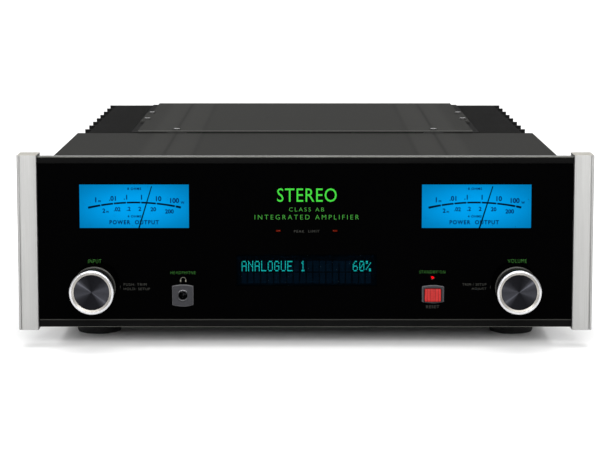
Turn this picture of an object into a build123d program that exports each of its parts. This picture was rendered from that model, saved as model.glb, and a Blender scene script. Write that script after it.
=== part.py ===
from build123d import *
import os
from math import cos, radians, sin

# Integrated amplifier. Millimetres, +Z up, front faces -Y, +Y to the rear, +X to the right
# of somebody who faces the front. Z = 0 is the plane the feet stand on, Y = 0 is half way
# between the fronts of the knobs and the ends of the speaker terminals.

# ---- driving dimensions -------------------------------------------------------------
WIDTH = 444.5          # over both end caps
YF = -233.0            # front plane of the end caps
FOOT_H = 14.5          # foot height, also the underside of the case
CAP_TOP = 151.0        # top of the end caps
CAP_W = 15.25          # end cap width
CAP_D = 22.0           # end cap depth
CAP_IN = WIDTH / 2 - CAP_W
GLASS_Y0, GLASS_Y1 = YF + 3.0, YF + 6.0
GLASS_Z0, GLASS_Z1 = 22.5, 144.2
TRIM_Y0, TRIM_Y1 = YF + 2.5, YF + 15.0
PANEL_Y0, PANEL_Y1 = YF + 15.0, YF + 16.5      # steel subpanel
SHEET = 1.5
FRONT_HALF_W = 195.8   # half width of the front case
REAR_HALF_W = 144.3    # half width of the rear cover
SINK_BASE = 5.7        # heatsink base thickness
STEP_Y = YF + 186.0    # where the front case ends
REAR_Y = YF + 451.0    # where the rear case ends
FRONT_COVER_Z = 149.0
REAR_COVER_Z = 151.0
FIN_TIP_LONG, FIN_TIP_SHORT = 192.0, 186.0
FIN_PITCH, FIN_T, FIN_COUNT = 8.25, 2.0, 32
KNOB_X, KNOB_Z = 163.6, 47.7
KNOB_R, KNOB_FACE_R, KNOB_FRONT = 17.2, 13.65, YF - 21.6
PUSH_KNOB = 0.8
METER_X, METER_PIVOT_Z = 132.4, 83.0
METER_Z0, METER_Z1 = 72.0, 134.0
NEEDLE_LEN, NEEDLE_REST = 44.6, 17.1           # length from the pivot, lean to the right
WEIGHT_W = 9.35        # width of the weight that balances the needle
BUTTON_X, BUTTON_Z = 98.9, 41.6
BUTTON_W, BUTTON_H, BUTTON_TRAVEL = 12.4, 10.0, 2.5
JACK_X, JACK_Z, JACK_R = -95.1, 41.3, 3.3
POSTS_X, POSTS_Z = (-112.0, -80.0, -28.0, 4.0), 50.0
POST_NAMES = ("left_negative", "left_positive", "right_negative", "right_positive")
INLET_X, INLET_Z = 112.0, 46.0
RUN = 0.05             # radial clearance of a running fit

os.makedirs("parts", exist_ok=True)


def front(y):
    """Plane that faces the front at depth y: local x is +X, local y is +Z."""
    return Plane.XZ.offset(-y)


def block(x0, x1, y0, y1, z0, z1, mode=Mode.ADD):
    """Box between two corners, added to the open part."""
    with Locations(((x0 + x1) / 2, (y0 + y1) / 2, (z0 + z1) / 2)):
        Box(abs(x1 - x0), abs(y1 - y0), abs(z1 - z0), mode=mode)


def rod(x, z, y0, y1, r, mode=Mode.ADD):
    """Cylinder along Y from y0 to y1, added to the open part."""
    with Locations((x, (y0 + y1) / 2, z)):
        Cylinder(r, abs(y1 - y0), rotation=(90, 0, 0), mode=mode)


def pillar(x, y, z0, z1, r, mode=Mode.ADD):
    """Cylinder along Z from z0 to z1, added to the open part."""
    with Locations((x, y, (z0 + z1) / 2)):
        Cylinder(r, z1 - z0, mode=mode)


def save(builder, name):
    builder.part.label = name
    export_step(builder.part, f"parts/{name}.step")


# ---- end caps -------------------------------------------------------------------------
for side, name in ((-1, "end_cap_left"), (1, "end_cap_right")):
    with BuildPart() as cap:
        with BuildSketch(Plane.XY.offset(FOOT_H)):
            with BuildLine():
                Polyline(
                    (side * CAP_IN, YF + CAP_D),
                    (side * CAP_IN, YF + 3.0),
                    (side * (CAP_IN + 3.0), YF),
                    (side * (WIDTH / 2), YF),
                    (side * (WIDTH / 2), YF + CAP_D),
                    close=True,
                )
            make_face()
        extrude(amount=CAP_TOP - FOOT_H)
        outer = cap.edges().filter_by(Axis.Z).filter_by(
            lambda e: abs(abs(e.center().X) - WIDTH / 2) < 0.01 and e.center().Y < YF + 1)
        fillet(outer, 1.2)
        top_edges = cap.faces().sort_by(Axis.Z)[-1].edges()
        fillet(top_edges, 0.6)
        # narrow groove down the front face
        gx = side * (WIDTH / 2 - 3.0)
        block(gx - 0.5, gx + 0.5, YF - 1, YF + 0.8, FOOT_H - 1, CAP_TOP + 1, Mode.SUBTRACT)
    save(cap, name)

# ---- front glass ------------------------------------------------------------------------
with BuildPart() as glass:
    with BuildSketch(front(GLASS_Y0)):
        with Locations((0, (GLASS_Z0 + GLASS_Z1) / 2)):
            Rectangle(2 * CAP_IN - 0.4, GLASS_Z1 - GLASS_Z0 - 0.2)
        with Locations((-KNOB_X, KNOB_Z), (KNOB_X, KNOB_Z)):
            Circle(4.5, mode=Mode.SUBTRACT)
        with Locations((JACK_X, JACK_Z)):
            Circle(4.9, mode=Mode.SUBTRACT)
        with Locations((BUTTON_X, BUTTON_Z)):
            Rectangle(14.6, 12.2, mode=Mode.SUBTRACT)
    extrude(amount=-(GLASS_Y1 - GLASS_Y0))
save(glass, "front_glass")

# ---- trim bars above and below the glass ------------------------------------------------
with BuildPart() as top_trim:
    with BuildSketch(Plane.YZ.offset(-CAP_IN + 0.1)):
        with BuildLine():
            Polyline(
                (TRIM_Y0 + 0.8, GLASS_Z1), (TRIM_Y0, GLASS_Z1 + 0.8), (TRIM_Y0, 148.4),
                (TRIM_Y0 + 0.8, 149.2), (TRIM_Y1, 149.2), (TRIM_Y1, GLASS_Z1), close=True)
        make_face()
    extrude(amount=2 * CAP_IN - 0.2)
save(top_trim, "top_trim")

with BuildPart() as bottom_trim:
    with BuildSketch(Plane.YZ.offset(-CAP_IN + 0.1)):
        with BuildLine():
            Polyline(
                (TRIM_Y0, 17.3), (TRIM_Y0, GLASS_Z0 - 0.8), (TRIM_Y0 + 0.8, GLASS_Z0),
                (TRIM_Y1, GLASS_Z0), (TRIM_Y1, 16.5), (TRIM_Y0 + 0.8, 16.5), close=True)
        make_face()
    extrude(amount=2 * CAP_IN - 0.2)
save(bottom_trim, "bottom_trim")

# ---- steel subpanel behind the glass ----------------------------------------------------
with BuildPart() as subpanel:
    with BuildSketch(front(PANEL_Y0)):
        with Locations((0, 82.5)):
            Rectangle(2 * CAP_IN, 131)
        with Locations((-METER_X, 103), (METER_X, 103)):
            Rectangle(93.6, 62.6, mode=Mode.SUBTRACT)
        with Locations((1.0, 61)):
            Rectangle(114.6, 32.6, mode=Mode.SUBTRACT)
        with Locations((-KNOB_X, KNOB_Z), (KNOB_X, KNOB_Z)):
            Circle(4.7, mode=Mode.SUBTRACT)
        with Locations((JACK_X, JACK_Z)):
            Circle(4.9, mode=Mode.SUBTRACT)
        with Locations((BUTTON_X, BUTTON_Z)):
            Rectangle(6, 6, mode=Mode.SUBTRACT)
        with Locations((BUTTON_X, 54.6), (-21, 91.5), (23, 91.5)):
            Circle(2.6, mode=Mode.SUBTRACT)
    extrude(amount=-SHEET)
    # clinched standoffs for the control board
    for px in (-70.0, 78.0, 140.0, -142.0):
        rod(px, 33.0, PANEL_Y1, YF + 39.0, 3.0)
save(subpanel, "front_subpanel")

# ---- meters -------------------------------------------------------------------------------
with BuildPart() as housings:
    for mx in (-METER_X, METER_X):
        block(mx - 46.5, mx + 46.5, GLASS_Y1, YF + 32, METER_Z0, METER_Z1)
        block(mx - 45, mx + 45, GLASS_Y1 - 1, YF + 30.5, METER_Z0 + 1.5, METER_Z1 - 1.5, Mode.SUBTRACT)
save(housings, "meter_housings")

NEEDLE_Y = YF + 11.0
for side, tag in ((-1, "left"), (1, "right")):
    mx = side * METER_X
    with BuildPart() as scale:
        with BuildSketch(front(YF + 14.0)):
            with Locations((mx, 104)):
                Rectangle(89.6, 56.6)
            with Locations((mx, METER_PIVOT_Z)):
                Circle(2.0, mode=Mode.SUBTRACT)
        extrude(amount=-1.0)
    save(scale, f"meter_scale_{tag}")

    # needle: tapered blade, hub, balance weight opposite the blade, arbor into the movement
    with BuildPart() as needle:
        rod(mx, METER_PIVOT_Z, NEEDLE_Y, NEEDLE_Y + 2.0, 3.0)
        rod(mx, METER_PIVOT_Z, NEEDLE_Y + 2.0, YF + 26.0, 0.8)
        lean = radians(NEEDLE_REST)
        with BuildSketch(Plane(origin=(mx, NEEDLE_Y + 0.5, METER_PIVOT_Z), x_dir=(cos(lean), 0, -sin(lean)), z_dir=(0, -1, 0))):
            with BuildLine():
                Polyline((-0.8, 2.5), (-0.3, NEEDLE_LEN), (0.3, NEEDLE_LEN), (0.8, 2.5), close=True)
            make_face()
        extrude(amount=-0.5)
        with BuildSketch(Plane(origin=(mx, NEEDLE_Y, METER_PIVOT_Z), x_dir=(cos(lean), 0, -sin(lean)), z_dir=(0, -1, 0))):
            with Locations((0, -5.6)):
                Rectangle(WEIGHT_W, 4.6)
            Rectangle(1.6, 10.0)
        extrude(amount=-2.0)
    save(needle, f"meter_needle_{tag}")
    print(tag, "needle: centre of mass off the arbor, mm", needle.part.center(CenterOf.MASS) - Vector(mx, 0, METER_PIVOT_Z))

with BuildPart() as movements:
    for mx in (-METER_X, METER_X):
        block(mx - 14, mx + 14, YF + 16.0, YF + 29.5, METER_Z0 + 2.0, METER_PIVOT_Z + 9.5)
        rod(mx, METER_PIVOT_Z, YF + 15.3, YF + 27.0, 0.8 + RUN, Mode.SUBTRACT)
save(movements, "meter_movements")

with BuildPart() as light_boards:
    for mx in (-METER_X, METER_X):
        block(mx - 40, mx + 40, YF + 28.9, YF + 30.5, 116, 128)
        for k in range(7):
            lx = mx - 36 + 12 * k
            block(lx - 1.7, lx + 1.7, YF + 27.7, YF + 28.9, 120.3, 123.7)
save(light_boards, "meter_light_boards")

# ---- display, indicator lamps, control board -----------------------------------------------
with BuildPart() as display:
    block(1.0 - 57, 1.0 + 57, YF + 6.3, YF + 14.0, 45.0, 77.0)
    block(1.0 - 57, 1.0 + 57, YF + 14.0, YF + 18.5, 46.0, 76.0)
save(display, "display_module")

with BuildPart() as lamps:
    rod(99.0, 54.6, YF + 6.2, YF + 15.0, 1.3)
    rod(99.0, 54.6, YF + 15.0, YF + 39.0, 1.1)
    for lx in (-21.0, 23.0):
        block(lx - 2.3, lx + 2.3, YF + 6.2, YF + 15.0, 90.5, 92.5)
        rod(lx, 91.5, YF + 15.0, YF + 20.0, 2.2)
save(lamps, "indicator_lamps")

with BuildPart() as control:
    block(-186, 186, YF + 39.0, YF + 40.6, 24, 72)
    block(BUTTON_X - 6, BUTTON_X + 6, YF + 34.0, YF + 39.0, BUTTON_Z - 6, BUTTON_Z + 6)
    for cx, cz, w, h in ((-20, 50, 20, 20), (30, 48, 12, 12), (60, 52, 14, 9), (-60, 48, 10, 14), (120, 50, 9, 9)):
        block(cx - w / 2, cx + w / 2, YF + 40.6, YF + 42.8, cz - h / 2, cz + h / 2)
    block(-16, 16, YF + 40.6, YF + 46.0, 64, 70)
save(control, "control_board")

# ---- knobs ----------------------------------------------------------------------------------
with BuildPart() as encoders:
    for kx in (-KNOB_X, KNOB_X):
        block(kx - 8, kx + 8, YF + 18.0, YF + 39.0, KNOB_Z - 8, KNOB_Z + 8)
        rod(kx, KNOB_Z, YF + 7.0, YF + 18.0, 4.5)                        # threaded bush
        rod(kx, KNOB_Z, YF + 12.2, YF + 15.0, 7.0)                       # clamping nut
        rod(kx, KNOB_Z, YF + 6.0, YF + 30.0, 3.0 + RUN, Mode.SUBTRACT)   # shaft bore
        rod(kx, KNOB_Z, YF + 29.0, YF + 39.0 - 1.0, 4.5 + RUN, Mode.SUBTRACT)  # plunger bore
save(encoders, "encoders")

for side, tag in ((-1, "input"), (1, "volume")):
    kx = side * KNOB_X
    # dark core: grip behind the ring, recessed spun face, blind bore for the shaft
    with BuildPart() as core:
        with BuildSketch(Plane(origin=(kx, 0, KNOB_Z), x_dir=(1, 0, 0), z_dir=(0, 0, 1))):
            with BuildLine():
                Polyline(
                    (0, KNOB_FRONT + 1.2), (KNOB_FACE_R, KNOB_FRONT + 0.8), (KNOB_FACE_R, KNOB_FRONT + 5.0),
                    (16.2, KNOB_FRONT + 5.0), (16.2, YF + 0.2), (17.0, YF + 0.2), (17.0, YF + 1.6),
                    (4.8, YF + 1.6), (4.8, KNOB_FRONT + 14.0), (3.0, KNOB_FRONT + 14.0),
                    (3.0, KNOB_FRONT + 8.0), (0, KNOB_FRONT + 8.0), close=True)
            make_face()
        revolve(axis=Axis((kx, 0, KNOB_Z), (0, 1, 0)))
        # fine axial grip grooves
        with BuildSketch(front(KNOB_FRONT + 6.0)):
            with Locations((kx, KNOB_Z)):
                with PolarLocations(16.2, 40):
                    Circle(0.45)
        extrude(amount=-(YF - 1.0 - KNOB_FRONT - 6.0), mode=Mode.SUBTRACT)
    save(core, f"{tag}_knob")

    with BuildPart() as ring:
        with BuildSketch(Plane(origin=(kx, 0, KNOB_Z), x_dir=(1, 0, 0), z_dir=(0, 0, 1))):
            with BuildLine():
                Polyline(
                    (KNOB_FACE_R, KNOB_FRONT + 0.9), (KNOB_FACE_R + 0.9, KNOB_FRONT), (KNOB_R - 1.4, KNOB_FRONT),
                    (KNOB_R, KNOB_FRONT + 1.4), (KNOB_R, KNOB_FRONT + 5.0), (KNOB_FACE_R, KNOB_FRONT + 5.0), close=True)
            make_face()
        revolve(axis=Axis((kx, 0, KNOB_Z), (0, 1, 0)))
    save(ring, f"{tag}_knob_ring")

    with BuildPart() as shaft:
        rod(kx, KNOB_Z, KNOB_FRONT + 8.0, YF + 34.0, 3.0)
    save(shaft, f"{tag}_shaft")

    # cup that follows the shaft in and out but does not turn, and works the push switch
    with BuildPart() as plunger:
        rod(kx, KNOB_Z, YF + 30.2, YF + 36.5, 4.5)
        rod(kx, KNOB_Z, YF + 30.0, YF + 34.1, 3.0 + RUN, Mode.SUBTRACT)
    save(plunger, f"{tag}_push_plunger")

# ---- headphone socket -------------------------------------------------------------------------
with BuildPart() as jack_bezel:
    with BuildSketch(front(YF + 1.2)):
        with BuildLine():
            ThreePointArc((JACK_X - 8.2, 49.2), (JACK_X, 49.95), (JACK_X + 8.2, 49.2))
            Line((JACK_X + 8.2, 49.2), (JACK_X + 8.2, 33.4))
            ThreePointArc((JACK_X + 8.2, 33.4), (JACK_X, 32.65), (JACK_X - 8.2, 33.4))
            Line((JACK_X - 8.2, 33.4), (JACK_X - 8.2, 49.2))
        make_face()
        with Locations((JACK_X, JACK_Z)):
            Circle(4.6, mode=Mode.SUBTRACT)
    extrude(amount=-1.8)
save(jack_bezel, "headphone_bezel")

with BuildPart() as jack:
    rod(JACK_X, JACK_Z, YF + 1.6, YF + 16.5, 4.55)
    block(JACK_X - 8, JACK_X + 8, YF + 16.5, YF + 39.0, JACK_Z - 9, JACK_Z + 9)
    rod(JACK_X, JACK_Z, YF + 1.0, YF + 35.0, JACK_R, Mode.SUBTRACT)
    fillet(jack.edges().filter_by(GeomType.CIRCLE).sort_by(Axis.Y)[0], 0.4)
save(jack, "headphone_jack")

# ---- standby button ----------------------------------------------------------------------------
with BuildPart() as button_bezel:
    with BuildSketch(front(YF + 1.2)):
        with BuildLine():
            ThreePointArc((90.5, 48.6), (99.0, 49.2), (107.5, 48.6))
            Line((107.5, 48.6), (107.5, 36.2))
            ThreePointArc((107.5, 36.2), (99.0, 35.6), (90.5, 36.2))
            Line((90.5, 36.2), (90.5, 48.6))
        make_face()
        with Locations((BUTTON_X, BUTTON_Z)):
            Rectangle(BUTTON_W + 0.6, BUTTON_H + 0.6, mode=Mode.SUBTRACT)
    extrude(amount=-1.8)
    with BuildSketch(front(YF + 3.0)):
        with Locations((BUTTON_X, BUTTON_Z)):
            Rectangle(14.4, 12.0)
            Rectangle(BUTTON_W + 0.6, BUTTON_H + 0.6, mode=Mode.SUBTRACT)
    extrude(amount=-9.0)
save(button_bezel, "standby_bezel")

with BuildPart() as button:
    block(BUTTON_X - BUTTON_W / 2, BUTTON_X + BUTTON_W / 2, YF + 0.2, YF + 9.5, BUTTON_Z - BUTTON_H / 2, BUTTON_Z + BUTTON_H / 2)
    block(BUTTON_X - 2, BUTTON_X + 2, YF + 9.5, YF + 31.2, BUTTON_Z - 2, BUTTON_Z + 2)
    # shallow finger ribs across the face
    for k in range(6):
        zc = BUTTON_Z - 4.0 + 1.6 * k
        block(BUTTON_X - 6.3, BUTTON_X + 6.3, YF, YF + 0.5, zc - 0.35, zc + 0.35, Mode.SUBTRACT)
save(button, "standby_button")

# ---- case -----------------------------------------------------------------------------------------
FEET_XY = ((-167.0, YF + 72.0), (167.0, YF + 72.0), (-120.0, YF + 415.0), (120.0, YF + 415.0))
with BuildPart() as base:
    block(-FRONT_HALF_W, FRONT_HALF_W, PANEL_Y1, STEP_Y, FOOT_H, FOOT_H + SHEET)
    block(-150, 150, STEP_Y, REAR_Y, FOOT_H, FOOT_H + SHEET)
    for fx, fy in FEET_XY:
        pillar(fx, fy, FOOT_H - 1, FOOT_H + SHEET + 1, 2.6, Mode.SUBTRACT)
save(base, "base_plate")

for side, name in ((-1, "side_panel_left"), (1, "side_panel_right")):
    with BuildPart() as side_panel:
        a, c = side * FRONT_HALF_W, side * (FRONT_HALF_W - SHEET)
        block(min(a, c), max(a, c), PANEL_Y1, STEP_Y - SHEET, FOOT_H + SHEET, FRONT_COVER_Z - SHEET)
    save(side_panel, name)

with BuildPart() as bulkhead:
    block(-FRONT_HALF_W, FRONT_HALF_W, STEP_Y - SHEET, STEP_Y, FOOT_H + SHEET, FRONT_COVER_Z - SHEET)
    for tx in (-110.8, 110.8):
        block(tx - 8, tx + 8, STEP_Y, STEP_Y + 14, 143.5, 146.5)
        block(tx - 8, tx + 8, STEP_Y + 0.6, STEP_Y + 14, 146.5, REAR_COVER_Z - SHEET)
        pillar(tx, STEP_Y + 7, 140, 152, 1.5, Mode.SUBTRACT)
    block(60, 96, STEP_Y - 3, STEP_Y + 3, 96, 104, Mode.SUBTRACT)     # slot for the flat cable
    block(-42, -10, STEP_Y - 3, STEP_Y + 3, 96, 104, Mode.SUBTRACT)   # slot for the power leads
save(bulkhead, "bulkhead")

with BuildPart() as front_cover:
    block(-FRONT_HALF_W, FRONT_HALF_W, PANEL_Y1 + 0.5, STEP_Y, FRONT_COVER_Z - SHEET, FRONT_COVER_Z)
    chamfer(front_cover.faces().sort_by(Axis.Z)[-1].edges(), 0.3)
save(front_cover, "front_cover")

# two screws through a tab on each side of the rear cover, and two near its front edge
SCREWS_TOP = [(sx, YF + sy) for sx in (-143.6, 143.6) for sy in (289.0, 347.0)] + [(-110.8, STEP_Y + 7), (110.8, STEP_Y + 7)]
with BuildPart() as rear_cover:
    block(-REAR_HALF_W + 0.1, REAR_HALF_W - 0.1, STEP_Y + 0.3, REAR_Y + SHEET, REAR_COVER_Z - SHEET, REAR_COVER_Z)
    block(-148.6, 148.6, YF + 270.0, YF + 362.0, REAR_COVER_Z - SHEET, REAR_COVER_Z)
    for sx, sy in SCREWS_TOP:
        pillar(sx, sy, REAR_COVER_Z - 3, REAR_COVER_Z + 1, 1.8, Mode.SUBTRACT)
    chamfer(rear_cover.faces().sort_by(Axis.Z)[-1].edges().filter_by(GeomType.LINE), 0.3)
save(rear_cover, "rear_cover")

RCA_XZ = [(-122.0 + 17.0 * k, z) for k in range(8) for z in (127.0, 105.0)] + [(62.0, 116.0), (82.0, 116.0)]
with BuildPart() as rear_panel:
    with BuildSketch(front(REAR_Y)):
        with Locations((0, (FOOT_H + REAR_COVER_Z - SHEET) / 2)):
            Rectangle(300, REAR_COVER_Z - SHEET - FOOT_H)
        for rx, rz in RCA_XZ:
            with Locations((rx, rz)):
                Circle(4.5, mode=Mode.SUBTRACT)
        for px in POSTS_X:
            with Locations((px, POSTS_Z)):
                Circle(5.2, mode=Mode.SUBTRACT)
        with Locations((INLET_X, INLET_Z)):
            Rectangle(28.4, 20.4, mode=Mode.SUBTRACT)
        with Locations((INLET_X - 20, INLET_Z), (INLET_X + 20, INLET_Z)):
            Circle(1.5, mode=Mode.SUBTRACT)
        for sx in (-147.2, 147.2):
            for sz in (30.0, 84.0, 138.0):
                with Locations((sx, sz)):
                    Circle(1.7, mode=Mode.SUBTRACT)
    extrude(amount=-SHEET)
save(rear_panel, "rear_panel")

# ---- heatsinks --------------------------------------------------------------------------------------
for side, name in ((-1, "heatsink_left"), (1, "heatsink_right")):
    with BuildPart() as sink:
        with BuildSketch(Plane.XY.offset(FOOT_H + SHEET)):
            x_in, x_base = REAR_HALF_W, REAR_HALF_W + SINK_BASE
            with Locations((side * (x_in + x_base) / 2, (STEP_Y + REAR_Y) / 2)):
                Rectangle(x_base - x_in, REAR_Y - STEP_Y)
            first = STEP_Y + 1.0 + FIN_T / 2
            for k in range(FIN_COUNT):
                tip = FIN_TIP_LONG if k % 4 == 3 else FIN_TIP_SHORT
                with Locations((side * (x_base - 0.5 + tip) / 2, first + k * FIN_PITCH)):
                    Rectangle(tip - x_base + 0.5, FIN_T)
        extrude(amount=149.5 - FOOT_H - SHEET)
        # inner ledge that carries the rear cover, and the threaded holes
        a, c = side * 136.0, side * (REAR_HALF_W + 0.5)
        block(min(a, c), max(a, c), STEP_Y, REAR_Y, 143.5, 149.5)
        for sx, sy in SCREWS_TOP:
            if sx * side > 0 and abs(sx) > 130:
                pillar(sx, sy, 143.5, 150, 1.5, Mode.SUBTRACT)
        for sz in (30.0, 84.0, 138.0):
            rod(side * 147.2, sz, REAR_Y - 12, REAR_Y + 1, 1.5, Mode.SUBTRACT)
    save(sink, name)

# ---- fasteners: identical M3 pan-head screws, and the four foot screws ---------------------------------
with BuildPart() as screws:
    for sx, sy in SCREWS_TOP:
        pillar(sx, sy, REAR_COVER_Z, REAR_COVER_Z + 1.2, 2.6)
        pillar(sx, sy, REAR_COVER_Z - 7.0, REAR_COVER_Z, 1.5)
        block(sx - 1.5, sx + 1.5, sy - 0.3, sy + 0.3, REAR_COVER_Z + 0.7, REAR_COVER_Z + 2, Mode.SUBTRACT)
        block(sx - 0.3, sx + 0.3, sy - 1.5, sy + 1.5, REAR_COVER_Z + 0.7, REAR_COVER_Z + 2, Mode.SUBTRACT)
    for sx in (-147.2, 147.2):
        for sz in (30.0, 84.0, 138.0):
            rod(sx, sz, REAR_Y + SHEET, REAR_Y + SHEET + 1.2, 2.6)
            rod(sx, sz, REAR_Y - 8.0, REAR_Y + SHEET, 1.5)
    for sx in (INLET_X - 20, INLET_X + 20):
        rod(sx, INLET_Z, REAR_Y + SHEET + 2.5, REAR_Y + SHEET + 3.7, 2.6)
        rod(sx, INLET_Z, REAR_Y - 3.0, REAR_Y + SHEET + 2.5, 1.5)
save(screws, "chassis_screws")

with BuildPart() as feet:
    for fx, fy in FEET_XY:
        with BuildSketch(Plane(origin=(fx, fy, 0), x_dir=(1, 0, 0), z_dir=(0, -1, 0))):
            with BuildLine():
                Polyline(
                    (2.7, 8.0), (6.5, 8.0), (6.5, 0), (16.6, 0), (17.5, 0.9), (19.0, 10.0),
                    (19.5, 12.5), (19.5, FOOT_H), (2.7, FOOT_H), close=True)
            make_face()
        revolve(axis=Axis((fx, fy, 0), (0, 0, 1)))
save(feet, "feet")

with BuildPart() as foot_screws:
    for fx, fy in FEET_XY:
        pillar(fx, fy, 4.6, 8.0, 4.4)
        pillar(fx, fy, 8.0, 20.0, 2.5)
        pillar(fx, fy, FOOT_H + SHEET, FOOT_H + SHEET + 3.0, 4.2)      # pressed nut on the plate
save(foot_screws, "foot_screws")

# ---- inside: power --------------------------------------------------------------------------------------
TX_Y = YF + 114.0
with BuildPart() as transformer:
    pillar(0, TX_Y, FOOT_H + SHEET, 82.0, 60.0)
    fillet(transformer.edges().filter_by(GeomType.CIRCLE).sort_by(Axis.Z)[-1], 6.0)
    pillar(0, TX_Y, 82.0, 84.5, 32.0)
    pillar(0, TX_Y, 84.5, 91.0, 7.0)
save(transformer, "power_transformer")

with BuildPart() as psu:
    block(-124, 124, YF + 196, YF + 306, 24.0, 25.6)
    for px in (-118, 118):
        for py in (YF + 202, YF + 300):
            pillar(px, py, FOOT_H + SHEET, 24.0, 3.0)
    for bx in (-40, 10):
        block(bx, bx + 30, YF + 278, YF + 284, 25.6, 45.6)              # rectifier bridges
    block(60, 84, YF + 274, YF + 290, 25.6, 40.0)                        # relay
    block(-90, -68, YF + 276, YF + 282, 25.6, 34.0)                      # fuse
save(psu, "power_supply_board")

with BuildPart() as capacitors:
    for cx in (-90.0, -32.0, 32.0, 90.0):
        pillar(cx, YF + 236, 25.6, 92.0, 25.0)
    fillet(capacitors.edges().filter_by(GeomType.CIRCLE).group_by(Axis.Z)[-1], 2.0)
save(capacitors, "filter_capacitors")

# ---- inside: output stages ---------------------------------------------------------------------------------
TR_Y = [YF + v for v in (225.0, 270.0, 315.0, 360.0)]
with BuildPart() as transistors:
    for side in (-1, 1):
        for ty in TR_Y:
            a, c = side * 139.3, side * REAR_HALF_W
            block(min(a, c), max(a, c), ty - 8, ty + 8, 70.0, 92.0)
            a, c = side * 129.6, side * 139.3
            for k in (-1, 0, 1):
                block(min(a, c), max(a, c), ty + 5.45 * k - 0.5, ty + 5.45 * k + 0.5, 71.0, 72.0)
save(transistors, "output_transistors")

with BuildPart() as drivers:
    for side in (-1, 1):
        a, c = side * 128.0, side * 129.6
        block(min(a, c), max(a, c), YF + 200, YF + 430, 34.0, 122.0)
        a, c = side * 120.0, side * 128.0
        for ty in (YF + 320, YF + 350, YF + 380):
            block(min(a, c), max(a, c), ty - 7, ty + 7, 60.0, 72.0)
        a, c = side * 112.0, side * 128.0
        block(min(a, c), max(a, c), YF + 400, YF + 424, 86.0, 104.0)       # speaker relay
save(drivers, "driver_boards")

# ---- inside: signal boards -----------------------------------------------------------------------------------
with BuildPart() as preamp:
    block(-132, 6, YF + 434.0, YF + 435.6, 92, 140)
    for cx in (-110, -76, -42, -8):
        block(cx - 8, cx + 8, YF + 426.0, YF + 434.0, 120, 132)             # input relays
        block(cx - 6, cx + 6, YF + 431.0, YF + 434.0, 100, 110)
save(preamp, "preamp_board")

with BuildPart() as digital:
    block(46, 108, YF + 434.0, YF + 435.6, 98, 134)
    block(54, 74, YF + 431.6, YF + 434.0, 106, 126)
    block(84, 96, YF + 431.6, YF + 434.0, 108, 120)
save(digital, "digital_board")

# ---- rear sockets ------------------------------------------------------------------------------------------------
with BuildPart() as sockets:
    for rx, rz in RCA_XZ:
        rod(rx, rz, YF + 435.6, REAR_Y + SHEET, 4.3)
        rod(rx, rz, REAR_Y + SHEET, REAR_Y + SHEET + 1.5, 5.8)
        rod(rx, rz, REAR_Y + SHEET + 1.5, REAR_Y + SHEET + 10.0, 4.15)
        rod(rx, rz, REAR_Y + SHEET - 2.0, REAR_Y + SHEET + 11.0, 1.6, Mode.SUBTRACT)
save(sockets, "signal_sockets")

POST_Y = REAR_Y + SHEET
STUD_R = 4.0
with BuildPart() as posts:
    for px in POSTS_X:
        rod(px, POSTS_Z, POST_Y, POST_Y + 6.0, 10.5)                     # insulating base
        rod(px, POSTS_Z, REAR_Y - 6.0, POST_Y, 5.0)
        rod(px, POSTS_Z, REAR_Y - 16.0, POST_Y + 34.1, STUD_R)          # stud
        rod(px, POSTS_Z, POST_Y + 14.1, POST_Y + 35.0, 2.05, Mode.SUBTRACT)
        pillar(px, POST_Y + 8.0, POSTS_Z - 6, POSTS_Z + 6, 1.7, Mode.SUBTRACT)  # wire hole
save(posts, "speaker_posts")

for px, tag in zip(POSTS_X, POST_NAMES):
    with BuildPart() as washer:
        rod(px, POSTS_Z, POST_Y + 6.1, POST_Y + 7.8, 8.0)
        rod(px, POSTS_Z, POST_Y + 5.0, POST_Y + 9.0, STUD_R + RUN, Mode.SUBTRACT)
    save(washer, f"post_washer_{tag}")
    with BuildPart() as post_cap:
        rod(px, POSTS_Z, POST_Y + 7.9, POST_Y + 35.1, 9.0)
        chamfer(post_cap.edges().filter_by(GeomType.CIRCLE), 0.8)
        rod(px, POSTS_Z, POST_Y + 7.0, POST_Y + 36.0, STUD_R + RUN, Mode.SUBTRACT)
        with BuildSketch(front(POST_Y + 12.0)):
            with Locations((px, POSTS_Z)):
                with PolarLocations(9.9, 8):
                    Circle(2.0)
        extrude(amount=-24, mode=Mode.SUBTRACT)
    save(post_cap, f"post_cap_{tag}")

with BuildPart() as inlet:
    with BuildSketch(front(POST_Y)):
        with Locations((INLET_X, INLET_Z)):
            RectangleRounded(48, 24, 4)
        with Locations((INLET_X - 20, INLET_Z), (INLET_X + 20, INLET_Z)):
            Circle(1.5, mode=Mode.SUBTRACT)
    extrude(amount=-2.5)
    block(INLET_X - 14, INLET_X + 14, YF + 433.0, POST_Y, INLET_Z - 10, INLET_Z + 10)
    with BuildSketch(front(YF + 438.0)):
        with Locations((INLET_X, INLET_Z)):
            Polygon((-12.2, -8.2), (12.2, -8.2), (12.2, 3.6), (7.6, 8.2), (-7.6, 8.2), (-12.2, 3.6), align=None)
    extrude(amount=-20, mode=Mode.SUBTRACT)
    for bx, bz in ((-7.0, -3.0), (7.0, -3.0), (0.0, 1.0)):
        block(INLET_X + bx - 1.0, INLET_X + bx + 1.0, YF + 437.0, YF + 450.5, INLET_Z + bz - 2.0, INLET_Z + bz + 2.0)
        block(INLET_X + bx - 2.4, INLET_X + bx + 2.4, YF + 425.0, YF + 433.0, INLET_Z + bz - 0.4, INLET_Z + bz + 0.4)
save(inlet, "mains_inlet")

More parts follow.
